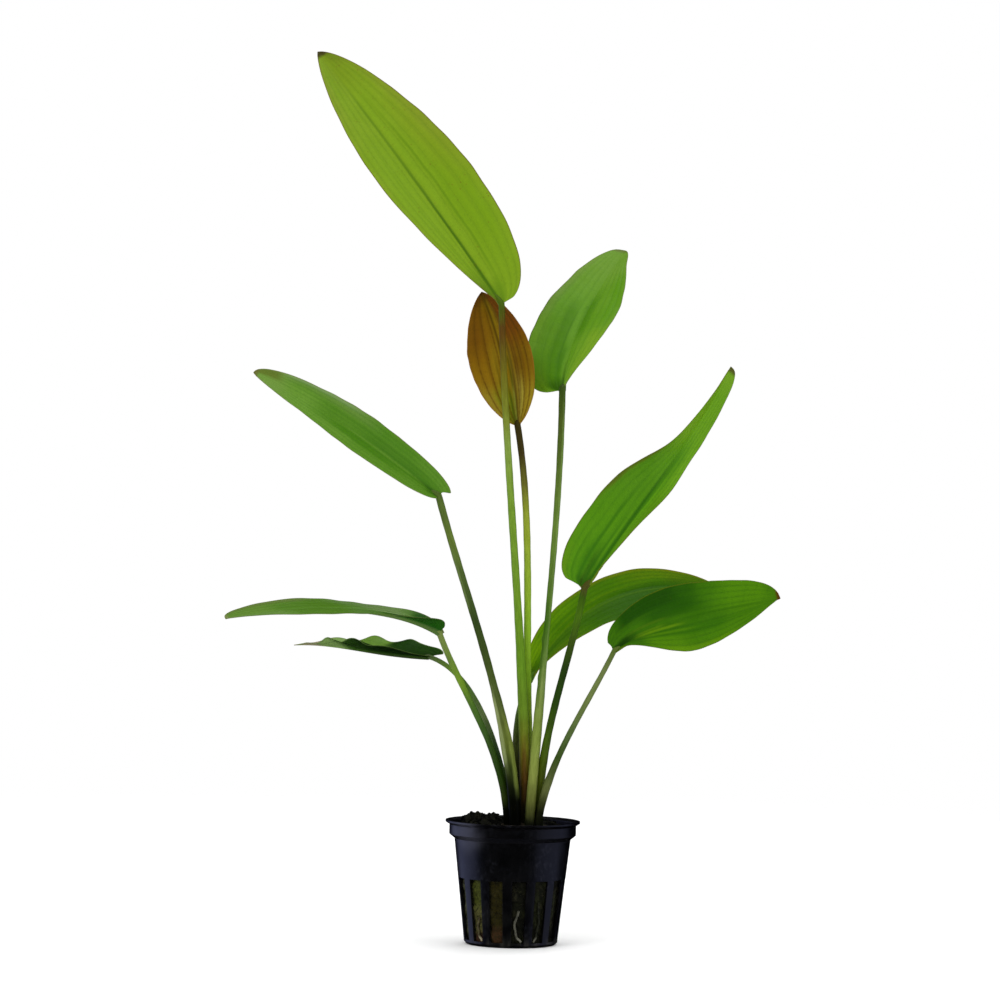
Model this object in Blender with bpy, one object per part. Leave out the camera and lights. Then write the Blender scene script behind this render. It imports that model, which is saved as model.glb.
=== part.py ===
"""Potted echinodorus: a rosette of stalked leaves on a short crown, rooted in a plug of growing medium
inside a slotted plastic net pot. +Z is up, -Y faces the viewer, and the origin is the centre of the
underside of the pot. Run it in Blender to build one object for each piece."""

import math

import bmesh
import bpy
import numpy as np
from mathutils import Matrix, Vector

MM = 0.001

# Net pot: outer radii and heights, in metres
LIP_RADIUS = 27.8 * MM
POT_HEIGHT = 51.0 * MM
LIP_THICKNESS = 0.8 * MM
COLLAR_RADIUS = 26.2 * MM
COLLAR_TOP = 49.2 * MM
COLLAR_BOTTOM = 45.2 * MM
BODY_TOP = 43.4 * MM
BODY_TOP_RADIUS = 24.0 * MM
FOOT_RADIUS = 19.2 * MM
FOOT_BEVEL = 1.0 * MM
WALL = 0.9 * MM
FLOOR = 1.1 * MM

# Slots in the lower half of the wall: the wall has five facets for each slot, and three of them are open
SLOT_COUNT = 14
FACETS_PER_SLOT = 5
OPEN_FACETS = 3
SLOT_BOTTOM = 2.0 * MM
SLOT_TOP = 27.4 * MM
SLOT_HEADING = math.radians(-90 + 8.0)  # plan angle of the middle of the slot nearest the viewer

# Drain slots in the floor of the pot
DRAIN_COUNT = 7
DRAIN_NEAR = 7.0 * MM
DRAIN_FAR = 14.0 * MM
DRAIN_WIDTH = 3.0 * MM

# Growing medium
GAP = 0.3 * MM  # left between neighbouring pieces
MEDIUM_CLEARANCE = 0.5 * MM
MEDIUM_SIDES = 28
MEDIUM_SHOULDER = 46.2 * MM
MEDIUM_TOP = 48.6 * MM
CROWN_SEAT = 45.9 * MM
CROWN_SEAT_RADIUS = 10.8 * MM
MEDIUM_RINGS = (0.86, 0.66, 0.46, 0.24, 0.0)  # from the pot's wall in to the seat of the crown
MOUNDS = (  # plan position, radius and height of each lump on the medium
    (-16.2 * MM, 0.0, 7.0 * MM, 5.2 * MM),
    (-9.5 * MM, 8.5 * MM, 5.5 * MM, 3.5 * MM),
    (-10.5 * MM, -8.5 * MM, 4.6 * MM, 3.0 * MM),
    (-5.5 * MM, 13.5 * MM, 5.2 * MM, 1.9 * MM),
    (15.5 * MM, 11.0 * MM, 5.0 * MM, 1.3 * MM),
)

# Crown, the short rootstock that the leaf stalks stand on
CROWN_CENTRE = Vector((4.3 * MM, 0.8 * MM, 0.0))
CROWN_RADIUS = 10.2 * MM
CROWN_TOP = 49.0 * MM
CROWN_FOOT_RADIUS = 9.0 * MM
CROWN_RIM_RADIUS = 9.5 * MM
CROWN_BULGE_HEIGHT = 47.3 * MM
CROWN_SIDES = 18
STALK_FOOT = CROWN_TOP + GAP

# Roots that show in the slots: plan angle from the viewer, top height, radius and sideways swing
ROOTS = {
    "root_front": dict(angle=8.5, top=15.5 * MM, radius=0.5 * MM, swing=-1.4 * MM),
    "root_left": dict(angle=-41.0, top=12.0 * MM, radius=0.5 * MM, swing=-0.8 * MM),
    "root_right": dict(angle=32.0, top=19.0 * MM, radius=0.45 * MM, swing=0.8 * MM),
    "root_back": dict(angle=-174.0, top=17.0 * MM, radius=0.55 * MM, swing=-1.3 * MM),
}
ROOT_POINTS = 12
ROOT_CLEARANCE = 0.2 * MM  # left under the lowest bend of a root
ROOT_HOOK = 0.55 * math.pi  # past a quarter turn, so that the tip rises again
ROOT_SWING = 1.6 * math.pi
ROOT_TAPER = ((0.0, 0.8, 1.0), (1.0, 0.9, 0.5))  # shares of its length, and of its radius there

# Leaves. Stalk: control points of a cubic curve from its foot on the crown to its blade, in mm, and its
# radii from foot to blade. Blade: rib, control points of the midrib on from the stalk's end; turn, how far
# its face turns about the rib from facing the viewer towards its right margin, in degrees at base and tip,
# between the two shares in twist; left and right, each half's width with the exponents of its outline at
# base and tip; fold, how steeply the halves rise from the rib at base and tip, in degrees; lobe, how far
# the halves reach back past the stalk; wave, depth and number of the waves along the margin.
LEAVES = {
    "top": dict(
        stalk=((5.1, -0.5), (4.5, 0.4, 118.5), (-5.8, 1.7, 191.9), (-8.8, 3.0, 264.6)),
        radii=(2.5, 2.1, 1.62, 1.33),
        rib=((-34.2, 11.4, 301.3), (-59.9, 19.6, 335.3), (-88.1, 28.0, 370.1)),
        turn=(32, 32), twist=(0.0, 1.0), left=(18.7, 0.97, 0.85), right=(25.0, 0.41, 0.65),
        fold=(15, 15), lobe=(0.7, 0.8), wave=(0.3, 1.9),
    ),
    "young": dict(
        stalk=((8.1, 3.4), (1.9, 4.6, 105.3), (7.8, 5.0, 165.6), (-1.2, 6.0, 214.3)),
        radii=(1.75, 1.93, 1.51, 1.32),
        rib=((-3.5, 11.3, 233.5), (-6.0, 16.7, 253.5), (-17.2, 22.0, 270.3)),
        turn=(-15, -15), twist=(0.0, 1.0), left=(16.6, 0.68, 0.65), right=(11.6, 0.68, 0.88),
        fold=(15, 15), lobe=(0.0, 0.0), wave=(0.4, 2.7),
    ),
    "back_right": dict(
        stalk=((6.7, -5.8), (9.9, 0.0, 109.6), (17.2, 5.0, 169.1), (17.2, 10.0, 229.8)),
        radii=(2.0, 1.9, 1.22, 1.36),
        rib=((18.0, 24.9, 250.3), (31.5, 40.1, 271.4), (44.5, 55.0, 291.0)),
        turn=(-35, -35), twist=(0.0, 1.0), left=(20.2, 0.32, 0.58), right=(16.1, 1.04, 1.08),
        fold=(12, 12), lobe=(0.2, 0.1), wave=(0.3, 2.7),
    ),
    "long_right": dict(
        stalk=((10.7, -0.8), (9.0, -1.9, 83.7), (22.0, -2.9, 114.1), (27.7, -4.0, 147.6)),
        radii=(1.84, 1.77, 1.5, 1.36),
        rib=((46.8, -1.4, 179.1), (70.9, 1.4, 207.3), (86.8, 4.0, 240.3)),
        turn=(-28.9, 62), twist=(0.2, 0.7), left=(18.0, 0.24, 0.92), right=(9.0, 1.13, 0.3),
        fold=(11, 14), lobe=(1.1, 0.4), wave=(0.7, 2.7),
    ),
    "behind_right": dict(
        stalk=((3.2, 4.4), (1.8, 6.6, 68.3), (-2.7, 8.8, 86.3), (5.7, 11.0, 108.3)),
        radii=(1.6, 1.5, 1.54, 1.37),
        rib=((21.1, 23.4, 141.6), (52.3, 32.4, 155.0), (88.1, 45.0, 145.9)),
        turn=(-35, -35), twist=(0.0, 1.0), left=(10.4, 0.47, 0.65), right=(14.3, 1.08, 0.77),
        fold=(12, 12), lobe=(2.1, 0.1), wave=(0.5, 2.3),
    ),
    "front_right": dict(
        stalk=((10.2, -4.4), (13.0, -5.9, 75.4), (29.4, -6.9, 98.5), (40.4, -8.0, 122.3)),
        radii=(1.6, 1.57, 1.24, 1.01),
        rib=((58.0, -16.6, 136.7), (84.9, -25.4, 138.8), (106.4, -34.0, 145.6)),
        turn=(-20, -20), twist=(0.0, 1.0), left=(14.7, 0.35, 0.45), right=(14.3, 1.76, 1.52),
        fold=(8, 8), lobe=(1.2, 0.0), wave=(2.2, 1.4),
    ),
    "high_left": dict(
        stalk=((0.9, -4.7), (-0.6, -5.7, 94.3), (-20.8, -6.9, 140.6), (-33.1, -8.0, 184.5)),
        radii=(2.4, 2.5, 1.54, 1.41),
        rib=((-58.2, -12.7, 203.5), (-82.4, -17.3, 221.3), (-109.4, -22.0, 233.4)),
        turn=(40, 40), twist=(0.0, 1.0), left=(10.4, 0.52, 0.73), right=(10.9, 0.25, 0.46),
        fold=(14, 14), lobe=(0.6, 4.4), wave=(0.3, 2.1),
    ),
    "arching_left": dict(
        stalk=((-2.1, -0.8), (-3.3, -2.6, 79.7), (-21.7, -4.4, 101.5), (-31.9, -6.0, 128.4)),
        radii=(1.75, 1.5, 1.3, 1.27),
        rib=((-54.0, -15.7, 142.3), (-93.5, -26.3, 138.4), (-118.1, -36.0, 133.1)),
        turn=(84.5, 71), twist=(0.11, 0.86), left=(11.8, 0.36, 1.16), right=(13.0, 0.58, 0.42),
        fold=(70.7, 4), lobe=(0.6, 2.9), wave=(0.4, 1.6),
    ),
    "low_left": dict(
        stalk=((0.0, 3.2), (-3.8, 4.3, 71.0), (-13.6, 6.4, 111.6), (-36.5, 8.0, 117.7)),
        radii=(1.5, 1.36, 1.28, 0.96),
        rib=((-54.8, 24.7, 117.5), (-75.3, 41.4, 121.5), (-94.6, 58.0, 119.6)),
        turn=(82, 86.2), twist=(0.06, 1.0), left=(17.1, 0.59, 1.43), right=(11.9, 0.42, 0.92),
        fold=(20, 25), lobe=(5.1, 6.9), wave=(1.2, 3.9),
    ),
}
BLADE_STATIONS = 14
BLADE_COLUMNS = 7
BLADE_ROOT = 1.2 * MM  # half width where the blade meets its stalk
BLADE_END = 0.25 * MM  # half width of the very tip
LOBE_SHARE = 0.006  # how far along the midrib the lobes at the base are full
FOLD_FADE = 8  # how soon the fold at the base gives way to the fold at the tip
CURL = 0.06  # fall of the margins, as a share of the half width
RIB_THICKNESS = 1.5 * MM
MARGIN_SHARE = 0.45  # thickness of the margin as a share of the midrib's
STALK_POINTS = 13
STALK_SHARES = (0.0, 0.25, 0.42, 1.0)  # where along a stalk its four radii are

# Colour, roughness and metallic value of each finish
FINISHES = {
    "black_plastic": ((0.016, 0.017, 0.024), 0.38),
    "dark_medium": ((0.025, 0.022, 0.014), 0.95),
    "crown_skin": ((0.08, 0.055, 0.025), 0.8),
    "root_skin": ((0.50, 0.48, 0.38), 0.6),
    "yellow_green": ((0.195, 0.36, 0.022), 0.42),
    "bronze": ((0.19, 0.085, 0.012), 0.4),
    "mid_green": ((0.10, 0.29, 0.022), 0.4),
    "deep_green": ((0.045, 0.18, 0.014), 0.4),
    "stalk_light": ((0.17, 0.30, 0.05), 0.45),
    "stalk_dark": ((0.07, 0.13, 0.03), 0.45),
}
BLADE_FINISH = {
    "top": "yellow_green", "young": "bronze", "back_right": "mid_green", "long_right": "mid_green",
    "behind_right": "deep_green", "front_right": "deep_green", "high_left": "mid_green",
    "arching_left": "mid_green", "low_left": "deep_green",
}
STALK_FINISH = {
    "top": "stalk_light", "young": "stalk_light", "back_right": "stalk_dark", "long_right": "stalk_dark",
    "behind_right": "stalk_dark", "front_right": "stalk_light", "high_left": "stalk_dark",
    "arching_left": "stalk_light", "low_left": "stalk_dark",
}


def clear_scene():
    for obj in list(bpy.data.objects):
        bpy.data.objects.remove(obj)


def finish(name):
    """The Principled material of that name, made when it is first asked for."""
    material = bpy.data.materials.get(name)
    if material is None:
        colour, roughness = FINISHES[name]
        material = bpy.data.materials.new(name)
        material.use_nodes = True
        shader = material.node_tree.nodes["Principled BSDF"]
        shader.inputs["Base Color"].default_value = (*colour, 1.0)
        shader.inputs["Roughness"].default_value = roughness
        shader.inputs["Metallic"].default_value = 0.0
    return material


def object_of(name, data, finish_name):
    obj = bpy.data.objects.new(name, data)
    bpy.context.scene.collection.objects.link(obj)
    data.materials.append(finish(finish_name))
    return obj


def mesh_of(name, bm, sharp_angle=None):
    """A mesh from a bmesh, smooth except at edges sharper than the angle."""
    mesh = bpy.data.meshes.new(name)
    bm.to_mesh(mesh)
    bm.free()
    if sharp_angle is not None:
        mesh.shade_smooth()
        mesh.set_sharp_from_angle(angle=math.radians(sharp_angle))
    return mesh


def spun(profile, steps):
    """A closed solid turned about Z from (radius, height) pairs that start and end on the axis."""
    bm = bmesh.new()
    ring = [bm.verts.new((radius, 0.0, height)) for radius, height in profile]
    edges = [bm.edges.new(pair) for pair in zip(ring, ring[1:])]
    bmesh.ops.spin(
        bm, geom=ring + edges, cent=(0, 0, 0), axis=(0, 0, 1), angle=2 * math.pi, steps=steps
    )
    bmesh.ops.remove_doubles(bm, verts=bm.verts, dist=0.001 * MM)
    bmesh.ops.recalc_face_normals(bm, faces=bm.faces)
    return bm


def wall_radius(height):
    """Outer radius of the tapered body at a height."""
    return FOOT_RADIUS + (BODY_TOP_RADIUS - FOOT_RADIUS) * height / BODY_TOP


def pot_profile():
    """Half section of the pot, down the outside from the axis of the underside and up to the lip."""
    outside = [
        (0.0, 0.0),
        (FOOT_RADIUS - FOOT_BEVEL, 0.0),
        (wall_radius(FOOT_BEVEL), FOOT_BEVEL),
        (wall_radius(SLOT_BOTTOM), SLOT_BOTTOM),
        (wall_radius(SLOT_TOP), SLOT_TOP),
        (BODY_TOP_RADIUS, BODY_TOP),
        (COLLAR_RADIUS, COLLAR_BOTTOM),
        (COLLAR_RADIUS, COLLAR_TOP),
        (LIP_RADIUS, POT_HEIGHT - LIP_THICKNESS),
        (LIP_RADIUS, POT_HEIGHT),
    ]
    inside = [
        (COLLAR_RADIUS - WALL, COLLAR_TOP + LIP_THICKNESS),
        (COLLAR_RADIUS - WALL, COLLAR_BOTTOM + WALL / 2),
        (BODY_TOP_RADIUS - WALL, BODY_TOP + WALL / 2),
        (wall_radius(SLOT_TOP) - WALL, SLOT_TOP),
        (wall_radius(SLOT_BOTTOM) - WALL, SLOT_BOTTOM),
        (wall_radius(FLOOR) - WALL, FLOOR),
        (0.0, FLOOR),
    ]
    return outside + inside


def in_slot(face):
    """True for a wall facet that lies in one of the slots."""
    centre = face.calc_center_median()
    if not SLOT_BOTTOM < centre.z < SLOT_TOP:
        return False
    if max(v.co.z for v in face.verts) - min(v.co.z for v in face.verts) < 0.5 * (SLOT_TOP - SLOT_BOTTOM):
        return False
    pitch = 2 * math.pi / SLOT_COUNT
    half_slot = pitch * OPEN_FACETS / FACETS_PER_SLOT / 2
    from_slot = (math.atan2(centre.y, centre.x) - SLOT_HEADING) % pitch
    return min(from_slot, pitch - from_slot) < half_slot


def slot_number(edge):
    pitch = 2 * math.pi / SLOT_COUNT
    middle = (edge.verts[0].co + edge.verts[1].co) / 2
    return round((math.atan2(middle.y, middle.x) - SLOT_HEADING) / pitch) % SLOT_COUNT


def make_drain_cutter():
    """Radial bars that cut the drain slots through the floor."""
    bm = bmesh.new()
    for k in range(DRAIN_COUNT):
        bar = bmesh.ops.create_cube(bm, size=1.0)["verts"]
        size = Vector((DRAIN_FAR - DRAIN_NEAR, DRAIN_WIDTH, 4 * FLOOR))
        bmesh.ops.scale(bm, verts=bar, vec=size)
        bmesh.ops.translate(bm, verts=bar, vec=((DRAIN_NEAR + DRAIN_FAR) / 2, 0, 0))
        angle = SLOT_HEADING + 2 * math.pi * k / DRAIN_COUNT
        bmesh.ops.rotate(bm, verts=bar, cent=(0, 0, 0), matrix=Matrix.Rotation(angle, 3, "Z"))
    cutter = bpy.data.objects.new("drain_cutter", mesh_of("drain_cutter", bm))
    bpy.context.scene.collection.objects.link(cutter)
    cutter.hide_render = True
    cutter.display_type = "WIRE"
    return cutter


def make_pot():
    """The net pot: a turned wall, with its slots opened facet by facet and drains cut in the floor."""
    steps = SLOT_COUNT * FACETS_PER_SLOT
    bm = spun(pot_profile(), steps)
    first_facet = SLOT_HEADING - math.pi / steps  # a facet's middle looks along the slot heading
    turn = Matrix.Rotation(first_facet, 3, "Z")
    bmesh.ops.rotate(bm, verts=bm.verts, cent=(0, 0, 0), matrix=turn)
    bmesh.ops.delete(bm, geom=[f for f in bm.faces if in_slot(f)], context="FACES")
    rims = [[] for _ in range(SLOT_COUNT)]
    for edge in bm.edges:
        if edge.is_boundary:
            rims[slot_number(edge)].append(edge)
    for rim in rims:
        bmesh.ops.bridge_loops(bm, edges=rim)
    bmesh.ops.recalc_face_normals(bm, faces=bm.faces)
    pot = object_of("pot", mesh_of("pot", bm, sharp_angle=35), "black_plastic")
    drains = pot.modifiers.new("drains", "BOOLEAN")
    drains.operation = "DIFFERENCE"
    drains.solver = "EXACT"
    drains.object = make_drain_cutter()


def medium_height(x, y):
    """Height of the lumpy top of the medium at a plan position."""
    height = MEDIUM_TOP
    for mound_x, mound_y, radius, rise in MOUNDS:
        away = ((x - mound_x) ** 2 + (y - mound_y) ** 2) / radius**2
        height += rise * math.exp(-away)
    return height


def ring_of(bm, centre, radius, height_at):
    """A ring of vertices about a plan centre, each at the height that height_at gives for its position."""
    ring = []
    for k in range(MEDIUM_SIDES):
        angle = 2 * math.pi * k / MEDIUM_SIDES
        x = centre.x + radius * math.cos(angle)
        y = centre.y + radius * math.sin(angle)
        ring.append(bm.verts.new((x, y, height_at(x, y))))
    return ring


def make_medium():
    """The plug of growing medium: a tapered solid with a lumpy top and a round seat for the crown."""
    shrink = WALL + MEDIUM_CLEARANCE
    shoulder = wall_radius(BODY_TOP) - shrink
    axis = Vector((0, 0, 0))
    bm = bmesh.new()
    rings = []
    for height in (FLOOR + GAP, BODY_TOP / 2):
        rings.append(ring_of(bm, axis, wall_radius(height) - shrink, lambda x, y, h=height: h))
    for height in (BODY_TOP - GAP, MEDIUM_SHOULDER):
        rings.append(ring_of(bm, axis, shoulder, lambda x, y, h=height: h))
    for share in MEDIUM_RINGS:
        centre = CROWN_CENTRE * (1 - share)
        radius = CROWN_SEAT_RADIUS + (shoulder - CROWN_SEAT_RADIUS) * share
        rings.append(ring_of(bm, centre, radius, medium_height))
    rings.append(ring_of(bm, CROWN_CENTRE, CROWN_SEAT_RADIUS, lambda x, y: CROWN_SEAT))
    for low, high in zip(rings, rings[1:]):
        for k in range(MEDIUM_SIDES):
            after = (k + 1) % MEDIUM_SIDES
            bm.faces.new((low[k], low[after], high[after], high[k]))
    bm.faces.new(rings[0])
    bm.faces.new(rings[-1])
    bmesh.ops.recalc_face_normals(bm, faces=bm.faces)
    object_of("growing_medium", mesh_of("growing_medium", bm, sharp_angle=60), "dark_medium")


def make_crown():
    """The knobbly crown: a low turned stub that the stalks stand on."""
    profile = [
        (0.0, CROWN_SEAT + GAP),
        (CROWN_FOOT_RADIUS, CROWN_SEAT + GAP),
        (CROWN_RADIUS, CROWN_BULGE_HEIGHT),
        (CROWN_RIM_RADIUS, CROWN_TOP - GAP),
        (0.0, CROWN_TOP),
    ]
    bm = spun(profile, CROWN_SIDES)
    bmesh.ops.translate(bm, verts=bm.verts, vec=CROWN_CENTRE)
    object_of("crown", mesh_of("crown", bm, sharp_angle=40), "crown_skin")


def bezier(points, share):
    """Points of a cubic curve with four control points, at shares of the way from 0 to 1."""
    a, b, c, d = (np.array(p, float) for p in points)
    t = np.asarray(share, float)[:, None]
    return a * (1 - t) ** 3 + 3 * b * t * (1 - t) ** 2 + 3 * c * t**2 * (1 - t) + d * t**3


def bezier_slope(points, share):
    """Direction of the same cubic curve, not of unit length."""
    a, b, c, d = (np.array(p, float) for p in points)
    t = np.asarray(share, float)[:, None]
    return 3 * ((b - a) * (1 - t) ** 2 + 2 * (c - b) * t * (1 - t) + (d - c) * t**2)


def tube(name, points, radii, finish_name, sides_half=2):
    """A round tube along points, with a radius at each, closed at both ends."""
    curve = bpy.data.curves.new(name, "CURVE")
    curve.dimensions = "3D"
    curve.bevel_depth = 1.0
    curve.bevel_resolution = sides_half
    curve.use_fill_caps = True
    spline = curve.splines.new("POLY")
    spline.points.add(len(points) - 1)
    for point, place, radius in zip(spline.points, points, radii):
        point.co = (*place, 1.0)
        point.radius = radius
    return object_of(name, curve, finish_name)


def stalk_path(leaf):
    """Centre line of a leaf stalk from the crown up, cut short of its blade by the gap between them."""
    foot, *others = leaf["stalk"]
    controls = [(*foot, STALK_FOOT / MM), *others]
    path = bezier(controls, np.linspace(0, 1, STALK_POINTS)) * MM
    onward = path[-1] - path[-2]
    onward /= np.linalg.norm(onward)
    _, ahead, _, _ = blade_frame(leaf, np.zeros(1))
    in_line = float(onward @ ahead[0])
    slant = leaf["radii"][-1] * MM * math.sqrt(1 - in_line**2)  # how far the tilted end reaches forward
    path[-1] -= (GAP + slant) / in_line * onward
    return path


def make_stalk(name, leaf):
    """A leaf stalk, from its broad foot on the crown to the base of its blade."""
    path = stalk_path(leaf)
    radii = np.interp(np.linspace(0, 1, STALK_POINTS), STALK_SHARES, leaf["radii"]) * MM
    tube(f"stalk_{name}", path, radii, STALK_FINISH[name])


def unit(vectors):
    return vectors / np.linalg.norm(vectors, axis=1, keepdims=True)


def eased(share, start, end):
    """Runs smoothly from 0 at the start share to 1 at the end share."""
    t = np.clip((share - start) / (end - start), 0, 1)
    return t * t * (3 - 2 * t)


def blade_frame(leaf, share):
    """Midrib points with the directions ahead, out of the face and towards the right margin at each."""
    controls = [leaf["stalk"][-1], *leaf["rib"]]
    rib = bezier(controls, share) * MM
    ahead = unit(bezier_slope(controls, share))
    to_viewer = np.array([0.0, -1.0, 0.0])
    flat = unit(to_viewer - ahead * (ahead @ to_viewer)[:, None])
    right = np.cross(ahead, flat)
    at_base, at_tip = (math.radians(a) for a in leaf["turn"])
    turn = (at_base + (at_tip - at_base) * eased(share, *leaf["twist"]))[:, None]
    face = flat * np.cos(turn) + right * np.sin(turn)
    return rib, ahead, face, np.cross(ahead, face)


def half_width(half, share):
    """Width of one half of a blade along its length: rounded at the base and pointed at the tip."""
    widest_width, at_base, at_tip = half
    widest = at_base / (at_base + at_tip)
    outline = (share / widest) ** at_base * ((1 - share) / (1 - widest)) ** at_tip
    least = BLADE_ROOT + (BLADE_END - BLADE_ROOT) * share
    return np.maximum(outline * widest_width * MM, least)


def blade_points(leaf, share, column):
    """The blade's middle surface: shares along the midrib by columns, left margin (-1) to right (1)."""
    rib, ahead, face, across = blade_frame(leaf, share)
    t, v = share[:, None], column[None, :]
    is_right = v > 0
    left_width, right_width = (half_width(leaf[side], share)[:, None] for side in ("left", "right"))
    width = np.where(is_right, right_width, left_width)
    lobe = np.where(is_right, leaf["lobe"][1], leaf["lobe"][0]) * MM
    at_base, at_tip = (math.radians(a) for a in leaf["fold"])
    fold = at_tip + (at_base - at_tip) * (1 - t) ** FOLD_FADE
    depth, count = leaf["wave"]
    wave = depth * MM * np.sin(2 * math.pi * count * t + 1.6 * v) * v**2 * np.sin(math.pi * t)
    sideways = v * width * np.cos(fold)
    lift = np.abs(v) * width * np.sin(fold) - CURL * v**2 * width + wave
    back = lobe * np.abs(v) ** 4 * (5 - 4 * np.abs(v)) * (1 - t) ** 10 * np.minimum(1, t / LOBE_SHARE)
    return (
        rib[:, None, :]
        + sideways[:, :, None] * across[:, None, :]
        + lift[:, :, None] * face[:, None, :]
        - back[:, :, None] * ahead[:, None, :]
    )


def make_blade(name, leaf):
    """A leaf blade: a sheet folded along its midrib, thickest there and thin at the margins."""
    spread = (1 - np.cos(np.linspace(0, math.pi, BLADE_STATIONS - 1))) / 2
    share = np.append(0.0, LOBE_SHARE + (1 - LOBE_SHARE) * spread)
    column = np.linspace(-1, 1, BLADE_COLUMNS)
    points = blade_points(leaf, share, column)
    bm = bmesh.new()
    verts = [[bm.verts.new(p) for p in row] for row in points]
    for row, after in zip(verts, verts[1:]):
        for k in range(BLADE_COLUMNS - 1):
            bm.faces.new((row[k], row[k + 1], after[k + 1], after[k]))
    bmesh.ops.recalc_face_normals(bm, faces=bm.faces)
    blade = object_of(f"blade_{name}", mesh_of(f"blade_{name}", bm, sharp_angle=60), BLADE_FINISH[name])
    rib = blade.vertex_groups.new(name="rib")
    for k, v in enumerate(column):
        rib.add([row * BLADE_COLUMNS + k for row in range(BLADE_STATIONS)], 1 - abs(v), "REPLACE")
    body = blade.modifiers.new("body", "SOLIDIFY")
    body.thickness = RIB_THICKNESS
    body.offset = 0
    body.vertex_group = "rib"
    body.thickness_vertex_group = MARGIN_SHARE


def make_root(name, root):
    """A root that has grown out of the medium and down behind a slot, with a hooked tip."""
    heading = math.radians(root["angle"] - 90)
    out = np.array([math.cos(heading), math.sin(heading), 0.0])
    along = np.array([-math.sin(heading), math.cos(heading), 0.0])
    share = np.linspace(0, 1, ROOT_POINTS)
    bottom = SLOT_BOTTOM + root["radius"] + ROOT_CLEARANCE
    fall = np.sin(share * ROOT_HOOK) / math.sin(ROOT_HOOK)
    height = root["top"] + (bottom - root["top"]) * fall
    sideways = root["swing"] * np.sin(share * ROOT_SWING)
    radial = [wall_radius(h) - WALL + root["radius"] / 2 for h in height]
    path = [out * r + along * s + np.array([0, 0, h]) for r, s, h in zip(radial, sideways, height)]
    radii = root["radius"] * np.interp(share, *ROOT_TAPER)
    tube(name, path, radii, "root_skin", sides_half=1)


def main():
    clear_scene()
    make_pot()
    make_medium()
    make_crown()
    for name, root in ROOTS.items():
        make_root(name, root)
    for name, leaf in LEAVES.items():
        make_stalk(name, leaf)
        make_blade(name, leaf)


main()
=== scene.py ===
import math

import bmesh
import bpy
import numpy as np
from mathutils import Matrix, Vector


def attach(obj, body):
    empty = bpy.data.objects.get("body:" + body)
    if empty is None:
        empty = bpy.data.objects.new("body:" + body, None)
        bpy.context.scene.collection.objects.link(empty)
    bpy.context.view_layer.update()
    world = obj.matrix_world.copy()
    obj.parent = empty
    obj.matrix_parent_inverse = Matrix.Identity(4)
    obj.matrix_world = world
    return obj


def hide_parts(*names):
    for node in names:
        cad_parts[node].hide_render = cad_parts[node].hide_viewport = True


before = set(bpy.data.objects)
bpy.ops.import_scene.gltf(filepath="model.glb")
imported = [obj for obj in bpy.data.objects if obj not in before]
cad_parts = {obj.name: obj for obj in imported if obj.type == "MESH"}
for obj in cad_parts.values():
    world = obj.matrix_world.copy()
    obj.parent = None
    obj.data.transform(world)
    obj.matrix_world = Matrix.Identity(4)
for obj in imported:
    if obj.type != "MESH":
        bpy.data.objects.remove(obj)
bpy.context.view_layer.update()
print("frame loaded:", len(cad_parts), "solids")

mm = 0.001
full = 2 * math.pi

camera = {
    "place": (-7.86, -1700.0, 183.28),  # millimetres
    "roll": 1.1,  # degrees, the plant leans a little in the picture
    "width": 413.53,  # millimetres seen across the picture at the pot
    "sensor": 36.0,
    "clip": (0.05, 20.0),  # metres
}
room = {
    "white": (1.0, 1.0, 1.0),
    "glow": 1.0,
    "middle": (0, 0, 180),  # what every lamp faces, in millimetres
    "floorRadius": 900.0, "floorRings": 40, "floorAround": 96, "floorHeight": -0.05,
    "floorFade": (450.0, 860.0),
    "floorColour": (0.93, 0.93, 0.93), "floorShade": 0.985,
}
lamps = {  # place and size in millimetres, power in watts; those with a tint are only seen as reflections
    "key": {"place": (-1100, -1300, 1500), "size": 900, "power": 13.0},
    "fill": {"place": (1400, -900, 900), "size": 1100, "power": 5.0},
    "top": {"place": (100, 300, 1900), "size": 1200, "power": 9.0},
    "back": {"place": (500, 1600, 1100), "size": 1100, "power": 7.0},
    "leftBox": {"place": (-1400, 500, 260), "size": 1900, "power": 6.6, "tint": (0.5, 0.56, 1.0)},
    "rightBox": {"place": (1480, -210, 260), "size": 1900, "power": 3.5, "tint": (0.55, 0.6, 1.0)},
}


# Places the camera: the lens is sensor width times distance over the width seen, then a quarter turn up and the roll.
def placeCamera():
    data = bpy.data.cameras.new("camera")
    data.sensor_width = camera["sensor"]
    data.lens = camera["sensor"] * -camera["place"][1] / camera["width"]
    data.clip_start, data.clip_end = camera["clip"]
    made = bpy.data.objects.new("camera", data)
    bpy.context.scene.collection.objects.link(made)
    place = Matrix.Translation(Vector(camera["place"]) * mm)
    level = Matrix.Rotation(math.radians(90), 4, "X")
    made.matrix_world = place @ level @ Matrix.Rotation(math.radians(camera["roll"]), 4, "Z")
    bpy.context.scene.camera = made


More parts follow.
